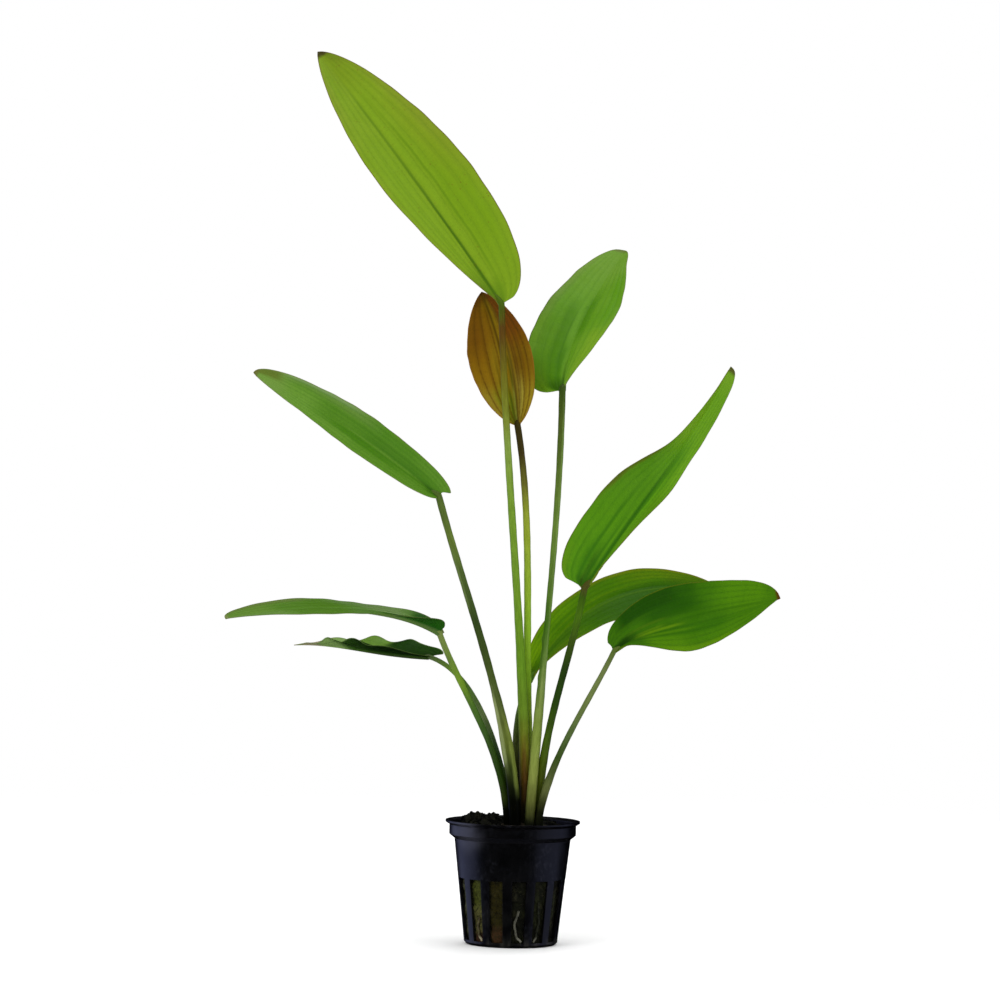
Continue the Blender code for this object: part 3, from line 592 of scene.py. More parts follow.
looks = {
    "top": {
        "tone": (0.84, 0.8, 0.32), "body": (120, 157, 34), "pale": (125, 161, 40), "vein": (102, 140, 16),
        "veins": (0.2, 0.42, 0.64, 0.84), "veinAmount": 0.8, "crossCount": 22,
        "margin": (112, 104, 52), "marginWidth": 0.5, "tip": (60, 46, 34), "specks": 0.5, "rough": 0.46,
        "patches": [
            ((-10, 9), (-110, -20), (6, 20), (66, 106, 4), 85), ((-10, 13), (-24, -4), (5, 8), (70, 112, 6), 70),
            ((-10, 6), (-6, 35), (5, 12), (80, 124, 10), 60), ((14, 80), (5, 20), (15, 8), (124, 165, 40), 60),
            ((12, 55), (26, 85), (15, 12), (114, 156, 10), 85), ((15, 60), (-80, -10), (15, 12), (122, 164, 36), 60),
            ((45, 80), (50, 110), (15, 20), (126, 152, 36), 60), ((50, 110), (78, 110), (15, 12), (126, 146, 54), 65),
            ((74, 110), (-110, -70), (15, 15), (128, 150, 58), 60),
            ((86, 110), (-50, 90), (6, 30), (118, 146, 34), 70), ((94, 110), (30, 110), (3, 30), (104, 126, 30), 70),
        ],
        "lines": [
            (-1, (-30, 50), 1.3, (70, 112, 0), 95), (-1, (40, 82), 1.2, (88, 128, 8), 70),
            (28, (8, 70), 1.0, (92, 134, 4), 60), (60, (30, 80), 0.8, (108, 140, 20), 25),
            (-50, (4, 60), 0.9, (102, 144, 20), 40),
        ],
        "stalk": {
            0: (16, 18, 4), 6: (38, 34, 4), 10: (84, 70, 16), 16: (112, 118, 28), 22: (98, 128, 30),
            32: (96, 136, 26), 45: (106, 142, 36), 62: (112, 146, 44), 73: (126, 150, 66), 80: (116, 124, 36),
            87: (108, 104, 22), 95: (90, 62, 12), 100: (70, 96, 12),
        },
        "stalkPatches": [((6, 17), (-50, 30), (4, 30), (92, 54, 10), 60)],
    },
    "young": {
        "tone": (1.13, 1.33, 1.1), "shine": 0.07, "body": (114, 84, 8), "pale": (120, 92, 12), "vein": (78, 48, 0),
        "veins": (0.25, 0.5, 0.76), "veinAmount": 1.6, "crossCount": 12,
        "margin": (128, 78, 24), "marginWidth": 0.45, "tip": (66, 34, 4), "specks": 0.2, "rough": 0.42,
        "patches": [
            ((-10, 34), (-110, -60), (12, 20), (126, 102, 30), 80),
            ((-10, 26), (-62, -6), (12, 15), (92, 106, 14), 75), ((5, 36), (20, 50), (10, 12), (146, 126, 50), 85),
            ((30, 62), (-110, -45), (10, 20), (112, 72, 0), 70), ((5, 30), (50, 110), (10, 20), (128, 104, 26), 70),
            ((30, 70), (20, 110), (12, 15), (102, 66, 2), 75), ((55, 110), (-110, -45), (15, 20), (92, 50, 0), 85),
            ((60, 95), (-50, -18), (12, 10), (104, 64, 2), 70), ((60, 110), (10, 110), (12, 20), (102, 44, 0), 85),
            ((93, 110), (-110, 110), (3, 30), (76, 40, 2), 70),
        ],
        "lines": [
            (0, (-30, 30), 0.8, (116, 116, 42), 70), (0, (28, 52), 0.8, (64, 60, 0), 70),
            (-13, (0, 26), 0.9, (54, 58, 0), 70), (-34, (16, 34), 0.8, (74, 58, 0), 60),
            (-14, (30, 100), 0.9, (64, 42, 0), 80), (-32, (0, 50), 0.8, (76, 58, 0), 50),
            (-52, (15, 90), 0.9, (86, 50, 0), 40), (10, (-20, 90), 0.9, (62, 50, 6), 60),
            (34, (10, 75), 0.8, (78, 42, 0), 45), (60, (20, 80), 0.7, (90, 48, 0), 35),
        ],
        "stalk": {
            0: (36, 40, 14), 8: (66, 68, 18), 18: (118, 136, 36), 35: (122, 164, 30), 48: (138, 178, 42),
            62: (142, 168, 48), 76: (142, 154, 46), 84: (104, 104, 34), 92: (64, 54, 18), 100: (60, 52, 12),
        },
    },
    "back_right": {
        "tone": (0.85, 0.87, 0.46), "body": (92, 142, 26), "pale": (98, 146, 34), "vein": (74, 126, 12),
        "veinAmount": 0.5, "crossCount": 14,
        "margin": (108, 122, 66), "marginWidth": 0.45, "tip": (96, 112, 62), "rough": 0.38,
        # The pale patches near the tip and along the left margin are painted sheen, and the dark patch at the very
        # base painted shade.
        "patches": [
            ((-10, 12), (-110, -50), (8, 20), (102, 140, 26), 60),
            ((20, 56), (-110, -74), (12, 14), (116, 164, 54), 85),
            ((24, 60), (-76, -50), (12, 10), (98, 150, 36), 70), ((-5, 60), (-46, -20), (12, 10), (76, 128, 8), 85),
            ((-5, 28), (-24, -6), (8, 7), (64, 116, 6), 85), ((34, 60), (-20, -7), (8, 6), (96, 146, 40), 75),
            ((16, 32), (-5, 6), (6, 6), (98, 146, 36), 75), ((36, 66), (-4, 18), (8, 7), (72, 124, 8), 85),
            ((0, 36), (20, 50), (10, 10), (108, 152, 40), 75), ((0, 42), (50, 110), (10, 12), (122, 160, 44), 80),
            ((44, 80), (55, 86), (10, 12), (88, 142, 12), 75), ((60, 80), (-50, -20), (8, 12), (102, 150, 50), 60),
            ((70, 110), (-110, 50), (10, 25), (104, 146, 52), 75),
            ((80, 110), (-110, 110), (8, 25), (106, 146, 56), 70),
            ((48, 100), (-110, -80), (12, 12), (112, 142, 76), 65), ((-10, 6), (-50, 12), (5, 15), (42, 82, 2), 90),
        ],
        "lines": [(0, (-30, 16), 0.9, (46, 86, 6), 60), (-20, (10, 50), 0.8, (62, 114, 4), 50)],
        "stalk": {
            0: (10, 12, 5), 1.2: (24, 28, 10), 5: (92, 98, 42), 12: (130, 142, 66), 20: (122, 140, 60),
            32: (116, 136, 70), 38: (96, 124, 52), 45: (64, 106, 20), 55: (82, 112, 40), 68: (98, 126, 48),
            82: (82, 104, 38), 93: (74, 90, 26), 100: (56, 78, 18),
        },
        # The dark patch on the stalk's left side and the pale one on its right are painted shade and painted light on
        # its two sides.
        "stalkPatches": [
            ((28, 50), (-110, -30), (5, 30), (56, 92, 12), 70), ((30, 95), (40, 110), (8, 30), (120, 148, 74), 50),
        ],
        "bumps": ((78.0, -1.2, 0.5), (62.0, -1.2, 0.35)),
    },
    "long_right": {
        "tone": (0.85, 0.86, 0.24), "body": (80, 137, 12), "pale": (84, 140, 16), "vein": (60, 118, 4),
        "veinAmount": 0.6, "crossCount": 18,
        "margin": (100, 104, 40), "marginWidth": 0.4, "tip": (82, 76, 54), "rough": 0.38,
        # The dark patches at the base are painted shade, and the paler patches towards the tip painted light for the
        # tip that turns from the lamps.
        "patches": [
            ((-10, 18), (-50, -20), (7, 12), (60, 118, 4), 80), ((-10, 14), (-24, -6), (6, 8), (44, 90, 2), 85),
            ((-10, 4), (-40, 10), (3, 10), (36, 66, 2), 80), ((-10, 10), (-110, -80), (7, 12), (96, 138, 22), 70),
            ((10, 45), (6, 20), (8, 7), (74, 126, 10), 70), ((22, 50), (20, 50), (8, 15), (94, 154, 14), 75),
            ((20, 50), (50, 110), (8, 15), (96, 146, 22), 70), ((48, 70), (50, 110), (8, 15), (114, 170, 34), 80),
            ((50, 72), (-50, 50), (8, 20), (90, 150, 18), 70), ((66, 110), (-110, 110), (8, 30), (112, 166, 32), 80),
            ((62, 110), (-110, -30), (10, 20), (116, 162, 50), 70), ((34, 60), (-110, -90), (6, 6), (92, 74, 40), 60),
            ((92, 110), (-110, 110), (4, 30), (122, 166, 58), 60),
        ],
        "lines": [
            (0, (-30, 56), 1.4, (40, 98, 0), 85), (-36, (-10, 40), 1.2, (48, 106, 4), 65),
            (-14, (-20, 30), 1.0, (46, 104, 4), 60), (-64, (-10, 20), 0.9, (56, 112, 4), 50),
            (14, (35, 62), 0.9, (60, 122, 2), 60),
        ],
        "stalk": {
            0: (14, 18, 4), 8: (54, 66, 4), 18: (74, 88, 6), 35: (66, 92, 12), 50: (40, 70, 6), 65: (34, 60, 10),
            78: (58, 82, 12), 88: (70, 108, 6), 97: (54, 86, 4), 100: (74, 74, 24),
        },
    },
    "behind_right": {
        "tone": (1.2, 1.13, 0.15), "shine": 0.06, "body": (62, 108, 8), "pale": (68, 112, 12), "vein": (48, 94, 4),
        "veinAmount": 0.7, "crossCount": 18,
        "margin": (96, 100, 44), "marginWidth": 0.5, "tip": (74, 82, 30), "rough": 0.4,
        "patches": [
            ((-10, 18), (-110, -20), (6, 20), (100, 142, 10), 85),
            ((16, 36), (-110, -50), (8, 15), (86, 132, 16), 75), ((6, 50), (5, 60), (10, 15), (54, 94, 6), 75),
            ((6, 30), (60, 110), (8, 15), (72, 102, 20), 70), ((30, 90), (20, 110), (10, 25), (46, 92, 8), 80),
            ((50, 110), (-15, 110), (12, 20), (40, 86, 4), 85), ((68, 110), (-30, 110), (10, 20), (38, 82, 4), 70),
            ((76, 110), (-110, -20), (6, 20), (56, 86, 4), 75), ((35, 90), (-110, -86), (10, 10), (98, 112, 36), 75),
            ((60, 85), (-86, -45), (8, 12), (82, 112, 10), 60), ((-10, 6), (-60, 20), (4, 20), (46, 70, 0), 70),
        ],
        "lines": [
            (0, (10, 40), 0.8, (80, 118, 26), 50), (-25, (20, 60), 0.7, (86, 124, 24), 35),
            (12, (40, 80), 0.7, (76, 112, 26), 30), (35, (5, 50), 0.7, (44, 84, 4), 50),
            (-12, (25, 60), 0.7, (50, 96, 4), 50),
        ],
        "stalk": {
            0: (10, 10, 8), 20: (22, 26, 8), 40: (44, 46, 16), 60: (70, 80, 34), 80: (68, 96, 20), 100: (70, 108, 14),
        },
    },
    "front_right": {
        "tone": (0.85, 0.84, 0.1), "shine": 0.09, "body": (54, 106, 6), "pale": (60, 112, 10), "vein": (38, 90, 2),
        "veinAmount": 0.6, "crossCount": 16,
        "margin": (84, 104, 36), "marginWidth": 0.4, "tip": (84, 40, 26), "rough": 0.34,
        # The dark patches over the left half and at the base are painted shadow from the leaves above.
        "patches": [
            ((-10, 10), (-90, -20), (4, 15), (62, 112, 14), 70), ((8, 46), (-110, -50), (5, 12), (24, 70, 0), 90),
            ((24, 50), (-60, -20), (7, 12), (32, 82, 2), 80), ((-10, 14), (-20, 20), (5, 10), (22, 58, 4), 90),
            ((10, 20), (-10, 50), (4, 12), (44, 90, 8), 70), ((20, 46), (42, 110), (6, 12), (82, 134, 8), 85),
            ((30, 75), (80, 110), (6, 10), (96, 144, 18), 80), ((40, 72), (20, 50), (10, 12), (52, 106, 4), 70),
            ((46, 75), (50, 80), (8, 10), (74, 128, 8), 70), ((42, 56), (-110, -30), (5, 15), (34, 84, 2), 75),
            ((55, 72), (-110, -40), (6, 20), (60, 112, 8), 80), ((66, 100), (-110, 0), (8, 20), (80, 134, 8), 85),
            ((70, 100), (-10, 110), (8, 20), (74, 126, 6), 70), ((92, 110), (-110, 110), (3, 30), (64, 116, 12), 70),
        ],
        "lines": [
            (10, (17, 42), 1.0, (104, 144, 34), 62), (-2, (16, 32), 0.9, (88, 130, 22), 60),
            (30, (20, 50), 0.8, (86, 134, 16), 50), (-20, (12, 34), 0.9, (76, 116, 14), 50),
            (-50, (2, 30), 0.8, (52, 100, 10), 40), (-5, (45, 90), 0.8, (46, 98, 2), 50),
            (30, (50, 90), 0.7, (50, 104, 2), 50),
        ],
        "stalk": {
            0: (14, 16, 8), 8: (28, 32, 10), 14: (62, 68, 28), 20: (96, 104, 56), 28: (76, 88, 42), 38: (54, 78, 24),
            50: (78, 100, 50), 70: (104, 120, 64), 90: (104, 118, 66), 100: (84, 104, 40),
        },
    },
    "high_left": {
        "tone": (0.93, 0.88, 0.88), "body": (76, 128, 22), "pale": (80, 130, 26), "vein": (62, 116, 10),
        "veinAmount": 0.6, "crossCount": 18,
        "margin": (112, 126, 72), "marginWidth": 0.4, "tip": (100, 102, 46), "rough": 0.38,
        # The pale patches along the right margin are painted sheen.
        "patches": [
            ((5, 60), (-110, -50), (10, 12), (88, 137, 34), 75), ((24, 56), (-50, -18), (8, 10), (64, 120, 6), 75),
            ((5, 42), (5, 45), (8, 10), (66, 118, 16), 70), ((-10, 16), (50, 110), (8, 15), (90, 138, 38), 60),
            ((20, 45), (50, 82), (8, 10), (72, 126, 22), 60), ((50, 75), (-90, -50), (8, 15), (100, 146, 46), 70),
            ((40, 110), (55, 110), (8, 14), (98, 136, 54), 70), ((50, 96), (80, 110), (8, 10), (118, 148, 92), 80),
            ((68, 110), (-110, 50), (8, 25), (102, 148, 48), 85),
            ((84, 110), (-110, 110), (6, 25), (110, 146, 62), 70), ((88, 110), (30, 110), (3, 20), (92, 106, 32), 80),
            ((-10, 6), (-50, 10), (4, 15), (40, 86, 0), 85),
        ],
        "lines": [
            (-2, (12, 50), 0.7, (100, 146, 50), 35), (10, (2, 40), 0.8, (52, 108, 8), 50),
            (-16, (2, 50), 0.8, (56, 112, 8), 50), (35, (20, 60), 0.7, (58, 112, 8), 35),
            (0, (-30, 10), 1.0, (34, 84, 0), 70),
        ],
        "stalk": {
            0: (5, 6, 2), 8: (7, 10, 0), 13: (24, 32, 4), 18: (50, 62, 12), 25: (90, 102, 36), 36: (80, 94, 42),
            48: (64, 82, 30), 62: (52, 72, 26), 76: (76, 96, 42), 86: (96, 116, 46), 100: (76, 98, 38),
        },
        "stalkPatches": [
            ((19, 40), (-110, -35), (4, 20), (138, 150, 98), 80), ((12, 33), (35, 110), (4, 20), (116, 130, 56), 75),
            ((66, 82), (-110, -30), (5, 25), (108, 128, 72), 60),
        ],
    },
    "arching_left": {
        "tone": (0.91, 0.86, 0.92), "body": (80, 128, 28), "pale": (86, 132, 34), "vein": (60, 108, 16),
        "veins": (0.25, 0.5, 0.75), "veinAmount": 0.5, "crossCount": 18,
        "margin": (104, 118, 58), "marginWidth": 0.5, "tip": (118, 134, 74), "rough": 0.4,
        # Dark underside: painted shade.
        "under": (27, 91, 9), "underAmount": 0.9,
        # The dark patches over the base are painted shadow from the leaves above, and the pale bands past them
        # painted highlights.
        "patches": [
            ((-10, 15), (-110, 110), (4, 20), (24, 78, 8), 97), ((10, 30), (-110, -10), (5, 20), (30, 82, 10), 90),
            ((17, 38), (-10, 110), (5, 20), (112, 142, 82), 85), ((32, 46), (-110, 20), (4, 20), (88, 132, 52), 75),
            ((34, 50), (40, 110), (5, 20), (106, 140, 78), 70), ((46, 68), (-110, 60), (5, 20), (78, 126, 20), 80),
            ((70, 110), (-110, -10), (5, 20), (108, 148, 66), 75),
            ((76, 110), (-20, 110), (6, 20), (100, 140, 48), 70), ((60, 110), (70, 110), (8, 15), (102, 122, 58), 70),
        ],
        "lines": [(0, (30, 80), 0.6, (100, 146, 60), 25)],
        "stalk": {
            0: (4, 5, 0), 8: (12, 14, 0), 14: (46, 62, 10), 24: (38, 66, 8), 36: (48, 76, 22), 48: (60, 92, 34),
            60: (72, 106, 36), 74: (108, 142, 36), 86: (104, 130, 52), 100: (124, 142, 74),
        },
    },
    "low_left": {
        "tone": (1.4, 1.32, 1.0), "body": (32, 66, 12), "pale": (40, 76, 18), "vein": (20, 46, 6),
        "veins": (0.33, 0.66), "veinAmount": 0.4, "crossCount": 16,
        "margin": (80, 106, 52), "marginWidth": 0.5, "tip": (126, 120, 108), "rough": 0.4,
        # Dark underside and the dark patch over the base: painted shade.
        "under": (14, 42, 2), "underAmount": 0.85, "underFade": (0.38, 0.56), "keelAmount": 0.08,
        "patches": [
            ((-10, 40), (-110, 110), (6, 20), (20, 52, 4), 90), ((0, 14), (40, 110), (4, 20), (30, 66, 10), 60),
            ((38, 64), (20, 110), (5, 20), (86, 122, 46), 85), ((60, 85), (-110, 110), (6, 20), (106, 138, 84), 90),
            ((78, 110), (-110, 110), (4, 20), (128, 122, 112), 90),
        ],
        "stalk": {
            0: (4, 5, 1), 10: (8, 10, 0), 18: (38, 50, 8), 28: (52, 78, 28), 36: (34, 62, 26), 46: (70, 92, 50),
            56: (94, 112, 66), 72: (74, 108, 40), 84: (104, 138, 42), 100: (80, 98, 60),
        },
    },
}
for leafName, look in looks.items():
    leaves[leafName]["look"] = {**plainLook, **look}


# Lays each patch of colour over the base colour inside its window, with edges that wander a little. Besides the
# leaf's and stalk's own colours, the patches paint shade, highlights and sheen.
def layPatches(finish, along, across, patches):
    for *spans, colour, amount in patches:
        (start, end), (left, right), (softAlong, softAcross) = np.array(spans) / 100
        inside = along.window(start, end, softAlong) * across.window(left, right, softAcross)
        finish.lay(inside * (amount / 100), *colour)


# Draws veins that follow the leaf: soft lines at a place across the half width, which fade in and out along it.
def drawLines(finish, along, across, half, lines):
    for place, span, width, colour, amount in lines:
        start, end = np.array(span) / 100
        off = abs(across - place / 100) * half
        inside = off.falling(0.1 * width, width) * along.window(start, end, 0.22 * (end - start))
        finish.lay(inside * (amount / 100), *colour)


# Skin of a leaf: a mottled body with paler fields between faint veins, patches that also paint shade and sheen, drawn
# veins, slanted cross veins, fine threads, specks, a thin margin and a dry tip. The underside has its own colour,
# dark as painted shade on some leaves, and a pale keel. Over it all lies the leaf's painted light.
def leafFinish(name, look):
    finish = Finish("leaf" + name, **{"IOR": 1.45, "Specular IOR Level": look["shine"]})
    along, across, half, under = finish.attributes("along", "across", "half", "under")
    cloud, fine, drift = finish.noise(9.0, 3), finish.noise(1.1, 3), finish.noise(16.0, 2, seed=5.0)
    edge = abs(across)
    finish.clouds(cloud.between(0.32, 0.68), look["body"], look["pale"])
    crossed = across + (drift - 0.5) * 0.2 + (fine - 0.5) * 0.08
    layPatches(finish, along + (cloud - 0.5) * 0.07, crossed, look["patches"])
    bounds = [0.0, *look["veins"], 1.0]
    fields = sum(
        edge.window(low * 0.72 + high * 0.28, low * 0.28 + high * 0.72, (high - low) * 0.2)
        for low, high in zip(bounds, bounds[1:])
    )
    finish.tint(fields * 0.1 * look["veinAmount"], (1.0, 1.0, 0.8))
    finish.tint(fine.between(0.35, 0.65) * 0.16, (0.25, 0.3, 0.2))
    wander = (drift - 0.5) * 0.05
    faint = sum((abs(edge - place + wander) * half).falling(0.05, 0.55) for place in look["veins"])
    faint = faint * along.between(0.75, 0.99, 1.0, 0.1) * (half / 5.0).math("MINIMUM", 1.0)
    finish.lay(faint * fine.between(0.25, 0.7, 0.2, 0.5) * look["veinAmount"], *look["vein"])
    slant = (along * look["crossCount"] - edge * 0.9 + (drift - 0.5) * 1.1).math("FRACT")
    ties = abs(slant - 0.5).falling(0.0, 0.11) * finish.noise(4.0, 2, seed=9.0).between(0.42, 0.6)
    finish.lay(ties * 0.14, *look["vein"])
    threads = (edge * half * 1.35 + along * 2.0 + (fine - 0.5) * 0.5).math("FRACT")
    finish.lay(abs(threads - 0.5).between(0.1, 0.3) * 0.12, *look["vein"])
    drawLines(finish, along, across + (drift - 0.5) * 0.04, half, look["lines"])
    finish.lay(finish.specks(1.7, 3.0, (0.05, 0.3), 6.0, (0.5, 0.68)) * look["specks"], 104, 62, 22)
    fromEdge = (1 - edge) * half + (fine - 0.5) * 0.25
    rim = fromEdge.falling(0.35 * look["marginWidth"], 1.3 * look["marginWidth"])
    finish.lay(rim * cloud.between(0.3, 0.55, 0.3, 0.9), *look["margin"])
    finish.lay((along + (fine - 0.5) * 0.01).between(0.972, 0.99) * 0.9, *look["tip"])
    upper, covered = finish.base, look["underAmount"]
    if "underFade" in look:
        covered = along.between(*look["underFade"], covered, 0.15)
    # The underside's colour; on the arching and low left leaves it is painted shade.
    finish.lay(covered, *look["under"])
    finish.lay((edge * half).falling(0.8, 1.9) * look["keelAmount"], 118, 144, 74)
    finish.base = finish.mix(under * 0.85, upper, finish.base)
    # Painted light: all the paint darkened or lightened by how brightly the lamps light this leaf as it faces them.
    finish.tint(1.0, look["tone"], "MULTIPLY")
    rough = look["rough"] + (cloud - 0.5) * 0.16 + faint * 0.05 + (fine - 0.5) * 0.1
    return finish.done(rough, fine * 0.5 - faint * 0.4 - ties * 0.25 + abs(threads - 0.5) * 0.3)


# Skin of a stalk: colours that run from foot to blade, near black at the foot as painted shade, patches by side, some
# of them painted light and shade, long fine streaks and small flecks.
def stalkFinish(name, look):
    finish = Finish("stalk" + name, **{"IOR": 1.45, "Specular IOR Level": 0.12})
    along, side, front, length = finish.attributes("along", "side", "front", "length")
    cloud, fine = finish.noise(7.0, 3), finish.noise(0.8, 2)
    at = finish.node("CombineXYZ", {}, {"X": side * 0.0016, "Y": front * 0.0016, "Z": length * 0.00009})
    streaks = finish.noise(0.5, 3, at)
    # The colours run near black at the foot: painted shade where the stalks crowd into the pot.
    stops = [(place / 100, paint(*colour)) for place, colour in look["stalk"].items()]
    finish.base = finish.node("ValToRGB", {"stops": stops}, {"Fac": along + (cloud - 0.5) * 0.05})
    layPatches(finish, along + (cloud - 0.5) * 0.06, side + (cloud - 0.5) * 0.3, look["stalkPatches"])
    finish.tint(streaks.between(0.35, 0.65) * 0.5, (0.22, 0.22, 0.16))
    finish.tint(streaks.between(0.6, 0.75) * 0.3, (0.9, 0.95, 0.6))
    finish.lay(finish.specks(1.3, 4.0) * 0.35, 70, 60, 28)
    return finish.done(0.42 + (streaks - 0.5) * 0.2 + (fine - 0.5) * 0.1, streaks * 0.6 + fine * 0.4)


pot = {
    "lipRadius": 27.8, "height": 51.0, "lipThickness": 0.8,
    "collarRadius": 26.2, "collarTop": 49.2, "collarBottom": 45.2, "collarRings": (46.5, 47.9),
    "bodyTop": 43.4, "bodyTopRadius": 24.0, "footRadius": 19.2, "footBevel": 1.0,
    "wall": 0.9, "floor": 1.1, "floorRings": (1.5, 3.5, 5.5, 7.0, 8.75, 10.5, 12.25, 14.0, 15.5),
    "slots": 14, "slotBottom": 2.0, "slotTop": 27.4, "slotRings": 12, "slotHeading": -90 + 8.0,
    "upperRings": (31, 35, 39),
    "drains": 7, "drainNear": 7.0, "drainFar": 14.0, "drainWidth": 3.0,
    "around": 280, "slotCells": 12, "drainCells": 10,  # cells round the pot, and those open in each slot and drain
    "bevel": 0.22, "bevelFrom": 32,
}


# Outer radius of the tapered body at a height: a straight line from the foot to the top of the body.
def wallRadius(height):
    return pot["footRadius"] + (pot["bodyTopRadius"] - pot["footRadius"]) * height / pot["bodyTop"]


# Angles of a row of points at this radius: each drain's share s of its sector, from -0.5 to 0.5, slides so that the
# drain's edges stand asin(width/2/radius) from its middle and its sides are straight.
def drainAngles(angle, k, radius):
    drains, each = pot["drains"], pot["around"] // pot["drains"]
    if not pot["drainNear"] <= radius <= pot["drainFar"]:
        return angle
    share = ((k + each // 2) % each - each // 2) / each
    edge = math.asin(pot["drainWidth"] / 2 / radius) / full * drains
    moved = np.interp(np.abs(share), (0, pot["drainCells"] / 2 / each, 0.5), (0, edge, 0.5)) * np.sign(share)
    return angle + (moved - share) * full / drains


# The net pot: a profile turned about Z, the cells inside the slots and drains left out, and their rims bridged
# from the outer skin to the inner one.
def makePot(material):
    wall, floorRadii = pot["wall"], list(pot["floorRings"])
    heights = [*np.linspace(pot["slotBottom"], pot["slotTop"], pot["slotRings"]), *pot["upperRings"]]
    inner = pot["collarRadius"] - wall
    profile = (
        [(r, 0.0) for r in floorRadii]
        + [(pot["footRadius"] - pot["footBevel"], 0.0), (wallRadius(pot["footBevel"]), pot["footBevel"])]
        + [(wallRadius(h), h) for h in heights]
        + [(pot["bodyTopRadius"], pot["bodyTop"]), (pot["collarRadius"], pot["collarBottom"])]
        + [(pot["collarRadius"], h) for h in (*pot["collarRings"], pot["collarTop"])]
        + [(pot["lipRadius"], pot["height"] - pot["lipThickness"]), (pot["lipRadius"], pot["height"])]
        + [(inner, pot["collarTop"] + pot["lipThickness"]), (inner, pot["collarBottom"] + wall / 2)]
        + [(pot["bodyTopRadius"] - wall, pot["bodyTop"] + wall / 2)]
        + [(wallRadius(h) - wall, h) for h in heights[::-1]]
        + [(wallRadius(pot["floor"]) - wall, pot["floor"])]
        + [(r, pot["floor"]) for r in floorRadii[::-1]]
    )
    rows, around, slotRows = len(profile), pot["around"], pot["slotRings"]
    k = np.arange(around)
    angle = math.radians(pot["slotHeading"]) + full * k / around
    grid = np.stack([turned(r, drainAngles(angle, k, r), h) for r, h in profile])
    slotCells, drainCells = (
        (k + pot[cells] // 2) % (around // pot[count]) < pot[cells]
        for cells, count in (("slotCells", "slots"), ("drainCells", "drains"))
    )
    slotOut, slotIn = len(floorRadii) + 2, rows - len(floorRadii) - 2  # lowest row of the slots on either skin
    drainOut = floorRadii.index(pot["drainNear"])
    drainIn, drainRows = rows - 1 - drainOut, floorRadii.index(pot["drainFar"]) - drainOut + 1
    opened = np.zeros((rows - 1, around), bool)
    opened[slotOut : slotOut + slotRows - 1] |= slotCells
    opened[slotIn - slotRows + 1 : slotIn] |= slotCells
    opened[drainOut : drainOut + drainRows - 1] |= drainCells
    opened[drainIn - drainRows + 1 : drainIn] |= drainCells
    points, (quads, fans), _ = closedSkin(grid, opened=opened)
    number = np.arange(rows * around).reshape(rows, around)
    slotRims = bridge(number, slotOut, slotRows, slotIn, slotCells)
    drainRims = bridge(number, drainOut, drainRows, drainIn, drainCells)
    piece = makePiece("netPot", material, points, [np.concatenate([quads, slotRims, drainRims]), fans])
    form = bmesh.new()
    form.from_mesh(piece.data)
    bmesh.ops.recalc_face_normals(form, faces=form.faces)
    form.to_mesh(piece.data)
    form.free()
    soften = piece.modifiers.new("soften", "BEVEL")
    soften.width, soften.segments, soften.limit_method = pot["bevel"] * mm, 2, "ANGLE"
    soften.angle_limit, soften.harden_normals = math.radians(pot["bevelFrom"]), True
    return piece


# Rim faces of each opening: its edges on the outer rows, from low up, joined to the same edges of the inner rows,
# from high down.
def bridge(number, outerRow, count, innerRow, cells):
    outer = number[outerRow : outerRow + count]
    inner = number[innerRow - count + 1 : innerRow + 1][::-1]
    inCell = np.flatnonzero(cells)
    after = (inCell + 1) % len(cells)
    faces = [
        np.stack([outer[row, inCell], outer[row, after], inner[row, after], inner[row, inCell]], -1)
        for row in (0, count - 1)
    ]
    for column in (inCell[~cells[inCell - 1]], after[~cells[after]]):
        sides = outer[:-1, column], outer[1:, column], inner[1:, column], inner[:-1, column]
        faces.append(np.stack(sides, -1).reshape(-1, 4))
    return np.concatenate(faces)


# Satin black plastic: faint cloudy marks, pale drip marks, a film of dirt and dust low down, a fine moulded grain,
# and painted highlights: a pale band on the step under the collar and a pale patch on the lip and collar at the front
# left.
def plasticFinish():
    finish = Finish("blackPlastic", **{"IOR": 1.5, "Specular IOR Level": 0.6})
    x, y, height = (finish.axis(letter) for letter in "XYZ")
    cloud, grain = finish.noise(11.0, 4), finish.noise(0.35, 2)
    drips = finish.noise(2.2, 3, finish.node("Mapping", {}, {"Vector": finish.place(), "Scale": (1.0, 1.0, 0.12)}))
    finish.clouds(cloud.between(0.3, 0.7), (3, 3, 5), (9, 9, 13))
    finish.lay(drips.between(0.55, 0.75) * 0.25, 24, 26, 34)
    finish.lay(height.falling(2.0, 28.0) * cloud.between(0.48, 0.64) * 0.4, 26, 27, 18)
    smudge = finish.noise(1.6, 3, seed=4.0).between(0.5, 0.66) * finish.noise(14.0, 2, seed=6.0).between(0.42, 0.6)
    finish.lay(smudge * 0.35, 34, 36, 46)
    # Painted highlight: a pale band on the step under the collar, a face that turns down from the lamps.
    finish.lay(height.between(42.8, 43.6) * height.falling(45.0, 45.6) * 0.35, 24, 25, 32)
    # Painted highlight: a pale cloudy patch on the lip and collar at the front left.
    away = ((x + 20) * (x + 20) + (y + 17) * (y + 17) + (height - 48) * (height - 48)).math("SQRT")
    finish.lay(away.falling(4.0, 13.0) * cloud.between(0.3, 0.55) * 0.6, 60, 61, 74)
    finish.lay(height.falling(1.0, 4.5) * drips.between(0.45, 0.62) * 0.5, 58, 56, 50)
    finish.lay(finish.specks(1.4, 2.0, (0.04, 0.16), 9.0, (0.52, 0.66)) * 0.3, 62, 62, 60)
    rough = 0.33 + (cloud - 0.5) * 0.22 + drips.between(0.5, 0.8) * 0.14
    return finish.done(rough, grain * 0.4 + drips * 0.6, 0.07, 0.6)


